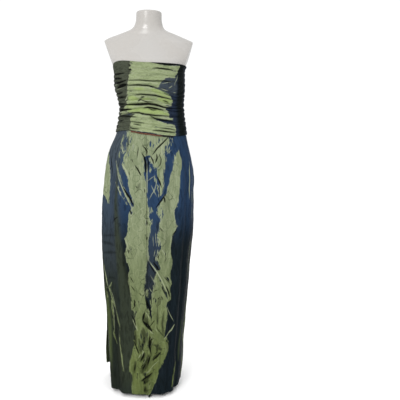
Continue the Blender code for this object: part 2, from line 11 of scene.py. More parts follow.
import bmesh
import bpy
import numpy as np
from bpy.props import FloatProperty, FloatVectorProperty, PointerProperty
from bpy.types import Operator, Panel, PropertyGroup
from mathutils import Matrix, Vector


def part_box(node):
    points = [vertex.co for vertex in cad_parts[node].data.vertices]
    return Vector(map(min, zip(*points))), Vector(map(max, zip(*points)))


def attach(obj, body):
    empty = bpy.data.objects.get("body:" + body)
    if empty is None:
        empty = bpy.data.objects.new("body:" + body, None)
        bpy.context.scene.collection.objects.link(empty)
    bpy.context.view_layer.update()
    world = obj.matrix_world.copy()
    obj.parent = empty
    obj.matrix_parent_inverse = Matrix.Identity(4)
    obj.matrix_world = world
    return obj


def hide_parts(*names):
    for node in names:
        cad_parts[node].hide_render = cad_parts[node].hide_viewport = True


bl_info = {
    "name": "Evening gown on a dress form",
    "version": (1, 0, 0),
    "blender": (4, 5, 0),
    "location": "3D View > Sidebar > Gown",
    "description": "Builds the taffeta gown, its dress form and the studio round them",
    "category": "Object",
}

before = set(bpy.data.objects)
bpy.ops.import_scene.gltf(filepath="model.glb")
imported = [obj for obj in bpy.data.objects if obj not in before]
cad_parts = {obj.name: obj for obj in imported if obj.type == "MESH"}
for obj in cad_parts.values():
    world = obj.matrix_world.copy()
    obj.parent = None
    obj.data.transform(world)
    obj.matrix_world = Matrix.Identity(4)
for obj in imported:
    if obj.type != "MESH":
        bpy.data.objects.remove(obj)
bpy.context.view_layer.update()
TORSO_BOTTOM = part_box("form_torso")[0].z

# ------------------------------------------------------- sizes and tables ----

AXIS_X = 0.014
AXIS_Y = -0.016
HALF_GAP_ANGLE = 0.0717     # half a seam's gap, in degrees round the figure
FORM_EASE = 0.0010          # from the form to the cloth on it
SKIRT_WALL = 0.0015
BODICE_WALL = 0.0016
LAYER_EASE = 0.0008
SKIRT_TOP = 1.116
SKIRT_FREE = 1.036          # below this the skirt leaves the form
SKIRT_BLEND = 0.036
SLIT_TOP = 0.360
LAYER_START = 1.140
LAYER_FULL = 1.122
NECK_TOP = 1.508
NECK_RIM = 0.007
SKIRT_MM = 2.6              # millimetres of cloth in one degree, on the skirt
BODICE_MM = 2.2             # and on the bodice
SEAM_HALF_WIDTH = 3.0       # of the dip at a skirt seam, in mm of cloth
SEAM_DIP = 0.0008
HEM_TURNING = 0.024         # from the hem up to the edge of its turning
HEM_TURNING_EASE = 0.004
HEM_TURNING_RISE = 0.0005
CRUMPLE_FULL = 1.000        # the skirt's crumple dies away from here up
CRUMPLE_NONE = 1.034

# The back takes its creases from the front: an angle and the angle it is seen
# at add up to the mirror. The skirt's also sway and are a little longer.
SKIRT_MIRROR = 176.0
SKIRT_SWAY = 4.0
SKIRT_BACK_LENGTH = 0.97
SKIRT_BACK_RISE = 0.055
BODICE_BACK_START = 98
BODICE_BACK_END = 262
BODICE_MIRROR = 195.0

# Relief of the creases drawn on the cloth, and of the step between its faces.
SKIRT_GROOVE_DEPTH = 0.0014
SKIRT_RIDGE_RISE = 0.0009
SKIRT_FACE_STEP = 0.0008
BODICE_GROOVE_DEPTH = 0.0007
BODICE_RIDGE_RISE = 0.0004

# The bodice between two of its creases; lengths along the cloth in millimetres.
GATHER_ROWS = 12            # rows of points from one crease to the next
GATHER_RISE = 0.0006
GATHER_LENGTH = 5.0
GATHER_REACH = 16           # how far the small gathers run from a seam
PUFF_LEAN = 0.85            # powers of the puff's profile
PUFF_ROUND = 0.6
PUFF_SWELL = 0.35
SWELL_LENGTH = 24
FLAT_SIDE = 0.5             # how much flatter the puffs are on the wearer's left
# The darkest crease is painted as a line of painted shade.
DARK_WIDTH = 2.6            # of the darkest crease's line
DARK_INSET = 0.9
BODICE_SEAM_HALF_WIDTH = 2.6
BODICE_SEAM_DIP = 0.0010

# Windows of the masks: where each starts, is full, is last full and ends.
FRAYED_RIGHT = (-47, -38, -25, -20)
FRAYED_LEFT = (8, 14, 34, 44)
INNER_BORDER = (3, 8, 18, 24)
NAVY_STRIP = (-4, 2, 16, 22)
# The bands and the bodice's low side and bust place painted light: bright bands on the skirt and a
# paler grey bloom on the bodice's navy.
BAND_HEIGHTS = (0.07, 0.17, 0.34, 0.52)
LOW_SIDE = (-62, -48, -34, -28)
BUST_ACROSS = (8, 18, 46, 54)
BUST_UP = (1.178, 1.192, 1.256, 1.272)
LEFT_SIDE = (46, 66, 108, 128)

Section = namedtuple("Section", "height right left front back power spread", defaults=(0.0,))

FORM_SECTIONS = (
    #       height  right   left    front  back   power
    Section(0.800, 0.146, 0.144, 0.084, 0.116, 2.20),
    Section(0.824, 0.158, 0.156, 0.095, 0.128, 2.20),
    Section(0.851, 0.1645, 0.1640, 0.102, 0.136, 2.20),
    Section(0.891, 0.1650, 0.1665, 0.108, 0.139, 2.20),
    Section(0.931, 0.1590, 0.1640, 0.110, 0.134, 2.20),
    Section(0.971, 0.1500, 0.1575, 0.110, 0.123, 2.20),
    Section(1.010, 0.1355, 0.1505, 0.107, 0.109, 2.20),
    Section(1.046, 0.1223, 0.1445, 0.102, 0.096, 2.20),
    Section(1.070, 0.1155, 0.1410, 0.097, 0.088, 2.20),
    Section(1.089, 0.1089, 0.1378, 0.093, 0.083, 2.20),
    Section(1.109, 0.1065, 0.1352, 0.091, 0.080, 2.20),
    Section(1.128, 0.1058, 0.1345, 0.0905, 0.079, 2.20),
    Section(1.148, 0.1080, 0.1355, 0.093, 0.081, 2.20),
    Section(1.168, 0.1130, 0.1374, 0.098, 0.084, 2.22),
    Section(1.187, 0.1175, 0.1390, 0.105, 0.088, 2.25),
    Section(1.207, 0.1228, 0.1402, 0.114, 0.092, 2.28),
    Section(1.230, 0.1267, 0.1407, 0.121, 0.096, 2.30),
    Section(1.257, 0.1271, 0.1408, 0.120, 0.100, 2.30),
    Section(1.276, 0.1270, 0.1410, 0.113, 0.103, 2.30),
    Section(1.286, 0.1296, 0.1416, 0.107, 0.105, 2.30),
    Section(1.296, 0.1380, 0.1480, 0.101, 0.106, 2.27),
    Section(1.312, 0.1560, 0.1610, 0.093, 0.106, 2.25),
    Section(1.330, 0.1700, 0.1740, 0.083, 0.103, 2.20),
    Section(1.360, 0.1840, 0.1840, 0.070, 0.096, 2.10),
    Section(1.384, 0.1830, 0.1830, 0.061, 0.088, 2.00),
    Section(1.394, 0.1745, 0.1725, 0.057, 0.083, 1.90),
    Section(1.401, 0.1650, 0.1570, 0.055, 0.080, 1.85),
    Section(1.409, 0.1500, 0.1380, 0.053, 0.076, 1.85),
    Section(1.417, 0.1270, 0.1195, 0.051, 0.073, 1.85),
    Section(1.424, 0.1080, 0.1025, 0.050, 0.070, 1.90),
    Section(1.432, 0.0850, 0.0815, 0.049, 0.067, 1.95),
    Section(1.440, 0.0670, 0.0680, 0.048, 0.064, 2.00),
    Section(1.449, 0.0560, 0.0615, 0.048, 0.061, 2.00),
    Section(1.460, 0.0497, 0.0580, 0.049, 0.057, 2.00),
    Section(1.480, 0.0450, 0.0552, 0.051, 0.052, 2.00),
    Section(1.508, 0.0437, 0.0550, 0.053, 0.047, 2.00),
)

SKIRT_SECTIONS = (
    Section(0.004, 0.1610, 0.1145, 0.135, 0.196, 2.30, 0.072),
    Section(0.103, 0.1675, 0.1264, 0.135, 0.187, 2.25, 0.042),
    Section(0.188, 0.1710, 0.1297, 0.135, 0.178, 2.20, 0.021),
    Section(0.273, 0.1745, 0.1370, 0.135, 0.170, 2.20, 0.008),
    Section(0.358, 0.1795, 0.1442, 0.135, 0.163, 2.20),
    Section(0.441, 0.1865, 0.1522, 0.134, 0.158, 2.20),
    Section(0.524, 0.1895, 0.1579, 0.133, 0.155, 2.20),
    Section(0.586, 0.1915, 0.1637, 0.132, 0.154, 2.20),
    Section(0.648, 0.1920, 0.1712, 0.131, 0.154, 2.20),
    Section(0.709, 0.1905, 0.1737, 0.130, 0.154, 2.20),
    Section(0.770, 0.1875, 0.1734, 0.129, 0.154, 2.20),
    Section(0.810, 0.1825, 0.1727, 0.128, 0.154, 2.20),
    Section(0.851, 0.1765, 0.1743, 0.127, 0.153, 2.20),
    Section(0.891, 0.1712, 0.1725, 0.126, 0.150, 2.20),
    Section(0.931, 0.1640, 0.1695, 0.124, 0.144, 2.20),
    Section(0.971, 0.1553, 0.1622, 0.120, 0.133, 2.20),
    Section(1.010, 0.1400, 0.1540, 0.112, 0.115, 2.20),
    Section(1.036, 0.1275, 0.1480, 0.105, 0.101, 2.20),
)

Fold = namedtuple("Fold", "angle_top angle_hem top bottom height half_width")
FOLD_FADE = 0.16

SKIRT_FOLDS = (
    Fold(-67, -64, 1.02, -0.20, 0.0060, 10),
    Fold(-51, -49, 0.98, -0.20, -0.0075, 11),
    Fold(-33, -32, 1.02, -0.20, 0.0080, 12),
    Fold(-14, -12, 0.62, 0.16, 0.0040, 9),
    Fold(0, 0, 0.98, 0.42, -0.0060, 8),
    Fold(17, 14, 0.98, 0.46, 0.0060, 8),
    Fold(12, 8, 0.52, -0.20, -0.0075, 9),
    Fold(31, 27, 1.01, 0.52, -0.0070, 9),
    Fold(29, 26, 0.50, -0.20, 0.0070, 10),
    Fold(48, 44, 1.03, -0.20, 0.0090, 12),
    Fold(62, 60, 0.96, -0.20, -0.0060, 9),
    Fold(98, 100, 0.98, -0.20, 0.0070, 12),
    Fold(119, 122, 0.94, -0.20, -0.0075, 12),
    Fold(140, 143, 1.00, -0.20, 0.0080, 13),
    Fold(163, 165, 0.92, -0.20, -0.0070, 12),
    Fold(186, 188, 1.00, -0.20, 0.0080, 13),
    Fold(208, 208, 0.94, -0.20, -0.0075, 12),
    Fold(229, 226, 0.99, -0.20, 0.0075, 12),
    Fold(251, 246, 0.92, 0.30, -0.0060, 11),
)

CREASE_STATIONS = (-90, -34, -3, 20, 50, 95, 140, 187, 230, 270)
Crease = namedtuple("Crease", "heights puff dark")

# Heights of each crease of the bodice at the stations, the gather's puff
# below it, and how dark the crease is painted at each station, as painted shade.
BODICE_CREASES = (
    Crease((1.281, 1.3125, 1.3055, 1.3030, 1.3010, 1.296, 1.288, 1.284, 1.282, 1.281), 0.0022,
           (0.0, 0.0, 0.0, 0.3, 0.3, 0.6, 0.3, 0.2, 0.1, 0.0)),
    Crease((1.262, 1.2870, 1.2830, 1.2775, 1.2730, 1.274, 1.270, 1.268, 1.264, 1.262), 0.0020,
           (0.5, 0.12, 0.12, 0.12, 0.3, 0.7, 0.6, 0.5, 0.5, 0.5)),
    Crease((1.247, 1.2620, 1.2610, 1.2570, 1.2520, 1.256, 1.250, 1.249, 1.248, 1.247), 0.0022,
           (0.4, 0.1, 0.1, 0.12, 0.12, 0.4, 0.4, 0.3, 0.3, 0.4)),
    Crease((1.232, 1.2380, 1.2365, 1.2325, 1.2290, 1.235, 1.233, 1.228, 1.231, 1.232), 0.0026,
           (0.8, 0.3, 0.3, 0.3, 0.12, 0.7, 0.7, 0.7, 0.7, 0.8)),
    Crease((1.214, 1.2170, 1.2155, 1.2035, 1.1850, 1.216, 1.212, 1.211, 1.210, 1.214), 0.0030,
           (0.6, 0.12, 0.3, 0.3, 0.3, 0.7, 0.6, 0.7, 0.6, 0.6)),
    Crease((1.193, 1.1980, 1.1980, 1.1895, 1.1750, 1.193, 1.195, 1.190, 1.192, 1.193), 0.0026,
           (0.5, 0.12, 0.12, 0.1, 0.12, 0.5, 0.5, 0.4, 0.5, 0.5)),
    Crease((1.177, 1.1800, 1.1840, 1.1755, 1.1640, 1.176, 1.173, 1.174, 1.172, 1.177), 0.0028,
           (0.7, 0.12, 0.3, 0.3, 0.3, 0.7, 0.6, 0.7, 0.6, 0.7)),
    Crease((1.159, 1.1640, 1.1670, 1.1565, 1.1450, 1.158, 1.157, 1.154, 1.158, 1.159), 0.0034,
           (0.4, 0.1, 0.12, 0.3, 0.3, 0.6, 0.5, 0.5, 0.4, 0.4)),
    Crease((1.141, 1.1465, 1.1490, 1.1395, 1.1325, 1.139, 1.138, 1.139, 1.137, 1.141), 0.0040,
           (0.9, 0.3, 0.3, 0.3, 0.3, 0.9, 0.9, 1, 0.9, 0.9)),
    Crease((1.122, 1.1280, 1.1345, 1.1295, 1.1220, 1.122, 1.121, 1.118, 1.120, 1.122), 0.0036,
           (0.9, 0.3, 0.3, 0.12, 0.12, 0.7, 0.8, 0.8, 0.8, 0.9)),
    Crease((1.106, 1.1165, 1.1115, 1.1050, 1.1010, 1.104, 1.102, 1.103, 1.101, 1.106), 0.0032,
           (0.8, 0.2, 0.15, 0.2, 0.3, 0.8, 0.7, 0.8, 0.8, 0.8)),
    Crease((1.088, 1.0990, 1.0970, 1.0865, 1.0790, 1.087, 1.086, 1.083, 1.086, 1.088), 0.0028,
           (0.4, 0.1, 0.1, 0.12, 0.2, 0.7, 0.6, 0.5, 0.5, 0.4)),
    Crease((1.071, 1.0830, 1.0755, 1.0680, 1.0620, 1.069, 1.067, 1.066, 1.069, 1.071), 0.0024,
           (0.6, 0.12, 0.12, 0.12, 0.12, 0.4, 0.5, 0.5, 0.6, 0.6)),
    Crease((1.056, 1.0660, 1.0560, 1.0470, 1.0435, 1.051, 1.051, 1.048, 1.052, 1.056), 0.0020,
           (0.5, 0.1, 0.12, 0.12, 0.12, 0.6, 0.5, 0.3, 0.4, 0.5)),
    Crease((1.043, 1.0500, 1.0405, 1.0320, 1.0285, 1.034, 1.034, 1.033, 1.037, 1.043), 0.0,
           (0.0, 0.0, 0.0, 0.0, 0.0, 0.0, 0.0, 0.0, 0.0, 0.0)),
)

SeamRow = namedtuple("SeamRow", "height front_right front_left back_left back_right")
BODICE_SEAMS = (
    SeamRow(1.030, -27, 45, 140, 232),
    SeamRow(1.085, -30, 42, 146, 228),
    SeamRow(1.130, -40, 40, 150, 225),
    SeamRow(1.170, -35, 41, 147, 227),
    SeamRow(1.220, -30, 46, 143, 231),
    SeamRow(1.320, -19, 60, 140, 235),
)

SKIRT_SEAM_RIGHT = -88
SKIRT_SEAM_FRONT = 0
SKIRT_SEAM_LEFT = 72
HemRow = namedtuple("HemRow", "angle height")
SKIRT_HEM = (
    HemRow(-90, 0.017),
    HemRow(-60, 0.015),
    HemRow(0, 0.015),
    HemRow(60, 0.017),
    HemRow(100, 0.020),
    HemRow(180, 0.028),
    HemRow(230, 0.044),
    HemRow(280, 0.058),
)
HEM_CORNER_DROP = 0.011
HEM_CORNER_ANGLE = 4.0
HEM_CORNER_FLAT = 0.35
SLIT_EDGE_TURN = 35
SLIT_KICK = 0.024
SLIT_KICK_WIDTH = 45
SLIT_CURVE = 1.3
STRIP_HEIGHT = 0.00608      # at its widest, as it shows
STRIP_GAP = 0.0003          # from the bodice's lowest crease down to the strip
STRIP_CROWN = 0.0002
STRIP_WALL = 0.0011
STRIP_COLUMNS = 120
STRIP_ROWS = 5
# The turned edge is painted darker between these angles, as painted shade.
STRIP_DARKENS = (16, 24)    # angles between which it goes into shade
STRIP_START = -26
STRIP_END = 41

ArmCut = namedtuple("ArmCut", "side x height lean turn")
ARM_CUTS = (
    ArmCut(-1, 0.1325, 1.292, 19.5, 8.0),
    ArmCut(1, 0.1440, 1.296, 18.5, 1.0),
)
CUTTER_SIZE = 0.30
CUT_ROUNDING = 0.0015
CUT_EDGE_ANGLE = 32         # edges of the cuts are rounded above this angle
SHARP_ANGLE = 38            # and shaded sharp above this one
TORSO_COLUMNS = 144
RIM_STEPS = 8
# Spans of the torso's rings: from, to and how many; closest where it curves most.
TORSO_RINGS = (
    (TORSO_BOTTOM, 1.26, 100), (1.263, 1.31, 24), (1.313, 1.38, 26), (1.382, 1.45, 46),
    (1.453, NECK_TOP - NECK_RIM, 20),
)

# The studio: the camera looks at the front, level but for a slight tilt down.
CAMERA_PLACE = (0.218, -2.416, 1.036)
CAMERA_TILT = math.atan(0.11)  # it looks down 0.11 m for each metre ahead
SENSOR_WIDTH = 36.0
FLOOR_REACH = 14.0
FLOOR_DROP = 0.0002
SKY_BASE = 1.03
SKY_SLANT = (-0.03, 0.0, 0.25)
Light = namedtuple("Light", "name place target size power")
LIGHTS = (
    Light("key", (-0.8, -3.4, 2.3), (0.0, 0.0, 1.0), 1.2, 92.0),
    Light("top", (0.2, -0.6, 4.2), (0.0, 0.0, 0.9), 2.0, 12.0),
)

# Where the taffeta shows its green face, laid where the cloth caught the
# light and so partly painted sheen: outlines as angle and height, and one
# patch at the hip given as height and the angles of its two sides there.
FRONT_GREEN = (
    (-33, 1.080), (-33, 1.026), (-30, 1.014), (-28.5, 0.988), (-28.5, 0.964), (-29, 0.946),
    (-31, 0.922), (-27, 0.902), (-22.5, 0.880), (-21, 0.860), (-19.5, 0.838), (-17.5, 0.810),
    (-14.5, 0.788), (-12.5, 0.766), (-15.5, 0.752), (-17, 0.740), (-18.5, 0.722), (-19, 0.698),
    (-19.5, 0.674), (-20.5, 0.650), (-24, 0.634), (-22.5, 0.620), (-20.5, 0.612), (-21.5, 0.602),
    (-23.5, 0.576), (-23, 0.562), (-21, 0.542), (-18, 0.516), (-20, 0.494), (-20, 0.466),
    (-19, 0.444), (-17.5, 0.420), (-17, 0.396), (-17, 0.372), (-17, 0.360), (-14.5, 0.352),
    (-15, 0.336), (-13.5, 0.318), (-11.5, 0.282), (-15, 0.274), (-14, 0.254), (-14, 0.234),
    (-17, 0.238), (-15.5, 0.216), (-17.5, 0.196), (-19.5, 0.170), (-21.5, 0.144), (-23, 0.124),
    (-22.5, 0.108), (-19.5, 0.094), (-19, 0.068), (-20.5, 0.042), (-20.5, 0.014), (0.5, 0.018),
    (6.5, 0.042), (11, 0.066), (14, 0.094), (18, 0.120), (23, 0.144), (28, 0.168),
    (34, 0.190), (35.5, 0.210), (32, 0.232), (29.5, 0.246), (24.5, 0.244), (25.5, 0.270),
    (27, 0.296), (29, 0.320), (29.5, 0.344), (26, 0.370), (28, 0.390), (36, 0.394),
    (33.5, 0.414), (32, 0.440), (36, 0.456), (32.5, 0.476), (32.5, 0.502), (34, 0.526),
    (35.5, 0.550), (32, 0.574), (31.5, 0.600), (32, 0.624), (32, 0.642), (36, 0.662),
    (39.5, 0.680), (37.5, 0.696), (35.5, 0.720), (36, 0.744), (38.5, 0.760), (40.5, 0.784),
    (42, 0.808), (43, 0.834), (43.5, 0.868), (44.5, 0.892), (46.5, 0.916), (48, 0.936),
    (47, 0.952), (46, 0.974), (41, 0.962), (37.5, 0.940), (36, 0.924), (33.5, 0.900),
    (30.5, 0.882), (28.5, 0.858), (26.5, 0.834), (25.5, 0.818), (21.5, 0.800), (15, 0.774),
    (12.5, 0.756), (11.5, 0.740), (13, 0.728), (16, 0.714), (14.5, 0.684), (13.5, 0.668),
    (11, 0.652), (13.5, 0.632), (14, 0.616), (16, 0.598), (13, 0.578), (11.5, 0.556),
    (14, 0.542), (17, 0.520), (13, 0.508), (9.5, 0.490), (8, 0.478), (10, 0.460),
    (9, 0.448), (6, 0.424), (5.5, 0.398), (5.5, 0.372), (5.5, 0.346), (5.5, 0.314),
    (4, 0.332), (2.5, 0.348), (1, 0.362), (0, 0.372), (-0.5, 0.386), (-1.5, 0.398),
    (-2.5, 0.408), (-4, 0.420), (-3, 0.444), (-2, 0.468), (-1.5, 0.492), (-0.5, 0.516),
    (0, 0.544), (0.5, 0.558), (1, 0.578), (1.5, 0.602), (1.5, 0.626), (2.5, 0.650),
    (3.5, 0.674), (4, 0.690), (6, 0.712), (3, 0.704), (1.5, 0.718), (2, 0.748),
    (1.5, 0.774), (0.5, 0.798), (0, 0.836), (-0.5, 0.858), (-2.5, 0.882), (-2.5, 0.918),
    (-3.5, 0.946), (-1.5, 0.952), (0.5, 0.956), (3.5, 0.954), (5.5, 0.946), (6.5, 0.926),
    (8.5, 0.906), (12.5, 0.912), (16, 0.920), (13, 0.906), (11.5, 0.892), (11, 0.882),
    (13, 0.866), (15.5, 0.848), (16, 0.824), (14.5, 0.798), (17, 0.812), (19, 0.824),
    (19.5, 0.836), (19.5, 0.858), (19, 0.882), (21, 0.906), (23, 0.930), (24, 0.946),
    (22.5, 0.958), (23.5, 0.972), (26, 0.986), (30.5, 1.000), (33.5, 1.016), (31, 1.028),
    (31, 1.080),
)
HIP_GREEN = (
    (0.971, -80, -78), (0.955, -91, -70), (0.943, -98, -65), (0.896, -101, -58), (0.845, -90, -56),
    (0.820, -76, -55), (0.796, -62, -54), (0.768, -55, -54),
)
# Where the bodice shows its green face, laid where the cloth caught the light and so partly painted
# sheen: an outline as angle and height.
BODICE_GREEN = (
    (-19.5, 1.311), (-22.5, 1.296), (-20, 1.292), (-23.5, 1.288), (-24.5, 1.281), (-19.5, 1.274),
    (-22.5, 1.268), (-22, 1.263), (-24.5, 1.258), (-25.5, 1.250), (-26.5, 1.234), (-29.5, 1.211),
    (-33.5, 1.189), (-35.5, 1.178), (-35.5, 1.170), (-38.5, 1.156), (-41.5, 1.145), (-50.5, 1.132),
    (-55, 1.119), (-62, 1.110), (-44, 1.115), (-30, 1.116), (-15.5, 1.112), (-23.5, 1.106),
    (-29, 1.102), (-30.5, 1.093), (-28, 1.076), (-28.5, 1.059), (-26.5, 1.053), (-9, 1.047),
    (7.5, 1.040), (27.5, 1.031), (44.5, 1.029), (45.5, 1.059), (43, 1.071), (27, 1.076),
    (11, 1.089), (16, 1.094), (40, 1.089), (41.5, 1.092), (33.5, 1.097), (35, 1.104),
    (33, 1.118), (30, 1.126), (28.5, 1.135), (41, 1.145), (42, 1.150), (40.5, 1.157),
    (41.5, 1.162), (39.5, 1.169), (40, 1.175), (30, 1.184), (21.5, 1.195), (16.5, 1.201),
    (13.5, 1.208), (17.5, 1.215), (19, 1.226), (24, 1.236), (28.5, 1.246), (37.5, 1.248),
    (45.5, 1.248), (47, 1.257), (52, 1.265), (53, 1.277), (56, 1.287), (57, 1.293),
    (39, 1.292), (25, 1.293), (15, 1.298), (7.5, 1.303), (6.5, 1.309),
)

# Where both threads show: a column down the front and the wearer's right side.
OLIVE_COLUMN = (
    (0.900, -39, -37), (0.762, -40, -33), (0.630, -38, -29), (0.512, -35, -23),
    (0.394, -33, -13), (0.270, -38, -10), (0.150, -50, -17), (0.010, -39, -15),
)
OLIVE_SIDE = (
    (0.700, -100, -78), (0.512, -112, -62.5), (0.434, -112, -58), (0.370, -112, -57),
    (0.252, -112, -57), (0.170, -112, -58), (0.010, -112, -56),
)

# Free creases: width is half the line's width in millimetres where it is
# widest, and the points are angle and height along it.  Grooves are painted
# shade, near black down the crease; ridges are painted highlight, a pale sheen
# on their crest; accents are soft patches of brighter green, as painted
# highlight.
Line = namedtuple("Line", "width points")
SKIRT_GROOVES = (
    Line(3.3, ((32, 1.026), (22, 1.004), (13, 0.982), (6.5, 0.956))),
    Line(2.3, ((-5.5, 0.996), (-1, 0.982), (1, 0.970), (0.5, 0.956))),
    Line(1.8, ((-9.5, 0.990), (-10, 0.968), (-10.5, 0.944))),
    Line(3.0, ((-6, 0.970), (-2, 0.950), (-0.5, 0.920), (-0.5, 0.884))),
    Line(2.3, ((1, 0.956), (2, 0.930), (1.5, 0.892))),
    Line(1.6, ((-18, 0.944), (-15.5, 0.926))),
    Line(2.9, ((-13.5, 0.920), (-9, 0.902), (-5, 0.876))),
    Line(2.5, ((4, 0.956), (6.5, 0.940), (8.5, 0.920))),
    Line(2.9, ((12, 0.962), (12.5, 0.946), (10, 0.926))),
    Line(1.9, ((18.5, 0.970), (15.5, 0.956), (17.5, 0.942), (16.5, 0.922), (11.5, 0.906))),
    Line(2.9, ((11.5, 0.878), (15, 0.854), (17, 0.832))),
    Line(1.8, ((12.5, 0.840), (14.5, 0.816), (15, 0.798))),
    Line(2.9, ((24, 0.812), (18, 0.790), (12.5, 0.766), (10, 0.754))),
    Line(3.1, ((20.5, 0.800), (21.5, 0.774))),
    Line(2.5, ((-66.5, 0.970), (-58.5, 0.936), (-53.5, 0.898), (-50, 0.866))),
    Line(3.7, ((-27.5, 0.834), (-22, 0.808), (-17, 0.788), (-13, 0.762))),
    Line(1.9, ((-11.5, 0.840), (-9, 0.830))),
    Line(1.6, ((-2, 0.832), (-1.5, 0.812))),
    Line(1.6, ((-21.5, 0.896), (-19, 0.878))),
    Line(2.5, ((-18, 0.750), (-15.5, 0.728))),
    Line(2.3, ((-32.5, 0.720), (-42.5, 0.702))),
    Line(1.8, ((13.5, 0.684), (17.5, 0.668), (21, 0.660))),
    Line(1.9, ((0, 0.708), (0.5, 0.686))),
    Line(2.5, ((39, 0.670), (36, 0.656), (32.5, 0.644))),
    Line(1.9, ((0, 0.644), (0, 0.630))),
    Line(1.9, ((-20.5, 0.596), (-19, 0.576))),
    Line(1.8, ((12.5, 0.562), (15, 0.576))),
    Line(1.6, ((23, 0.572), (25, 0.556), (22.5, 0.540))),
    Line(1.4, ((14.5, 0.574), (13.5, 0.550))),
    Line(1.4, ((16.5, 0.590), (17.5, 0.572))),
    Line(3.7, ((7, 0.546), (12, 0.526), (15.5, 0.510))),
    Line(2.5, ((1, 0.546), (5.5, 0.522), (11, 0.496))),
    Line(1.9, ((-18, 0.490), (-16, 0.476), (-13.5, 0.464))),
    Line(1.9, ((-18.5, 0.456), (-15, 0.444), (-12.5, 0.430))),
    Line(1.6, ((-9, 0.430), (-6, 0.416), (-3.5, 0.414), (-2, 0.424))),
    Line(1.8, ((8.5, 0.428), (11, 0.434), (15.5, 0.438))),
    Line(2.1, ((17.5, 0.456), (21.5, 0.434), (26, 0.408))),
    Line(3.9, ((25.5, 0.450), (29, 0.430), (32.5, 0.404))),
    Line(2.1, ((22.5, 0.486), (29, 0.468), (34, 0.452))),
    Line(3.1, ((-2, 0.406), (0.5, 0.378), (4.5, 0.344))),
    Line(3.3, ((-2.5, 0.350), (-4, 0.330), (-5, 0.314))),
    Line(5.3, ((-5, 0.314), (-0.5, 0.298), (3, 0.282), (6.5, 0.270))),
    Line(2.1, ((3, 0.292), (8, 0.308), (10.5, 0.314))),
    Line(1.8, ((11.5, 0.296), (15, 0.278), (21.5, 0.258), (27, 0.244))),
    Line(3.3, ((2.5, 0.254), (1.5, 0.226), (3, 0.204), (4.5, 0.172))),
    Line(1.8, ((5, 0.236), (9, 0.242))),
    Line(1.9, ((-6, 0.230), (-5.5, 0.210))),
    Line(2.9, ((-3.5, 0.190), (-5, 0.170), (-8, 0.152))),
    Line(1.8, ((7, 0.110), (10.5, 0.118))),
    Line(2.5, ((-4.5, 0.076), (-2.5, 0.056))),
    Line(2.1, ((-3, 0.044), (-3.5, 0.024))),
    Line(2.7, ((29.5, 0.234), (35, 0.214), (30.5, 0.196))),
    Line(1.9, ((-14, 0.398), (-13, 0.374), (-16.5, 0.360))),
    Line(2.7, ((-53, 0.334), (-47, 0.304), (-41, 0.276))),
    Line(2.5, ((-19, 0.340), (-15, 0.318), (-12.5, 0.290))),
    Line(1.9, ((16, 0.188), (10, 0.178))),
    Line(3.4, ((20, 0.186), (14, 0.168), (6.5, 0.150))),
    Line(3.4, ((5.5, 0.104), (-1, 0.088), (-7.5, 0.070))),
    Line(2.9, ((3.5, 0.174), (1.5, 0.158), (0, 0.140))),
    Line(2.4, ((-2, 0.142), (-4, 0.128), (-5.5, 0.116))),
    Line(2.6, ((-16, 0.234), (-13, 0.208), (-9.5, 0.178))),
    Line(2.3, ((-14.5, 0.140), (-16, 0.110))),
    Line(2.6, ((-14, 0.400), (-13, 0.390), (-14.5, 0.374))),
    Line(1.9, ((7, 0.396), (8.5, 0.406))),
    Line(1.9, ((14, 0.396), (17, 0.410))),
    Line(1.9, ((18, 0.416), (22, 0.392))),
    Line(2.2, ((4.5, 0.212), (3.5, 0.230), (5.5, 0.244))),
    Line(2.0, ((-5, 0.148), (-3, 0.160))),
    Line(1.7, ((-8, 0.126), (-4.5, 0.140))),
    Line(2.6, ((76, 1.000), (80, 0.960), (82, 0.900))),
    Line(2.2, ((94, 0.720), (90, 0.680), (82, 0.665))),
    Line(2.4, ((84, 0.420), (90, 0.370), (92, 0.310))),
    Line(2.0, ((70, 0.560), (76, 0.535), (84, 0.540))),
    Line(2.0, ((82, 0.150), (88, 0.110), (96, 0.095))),
)
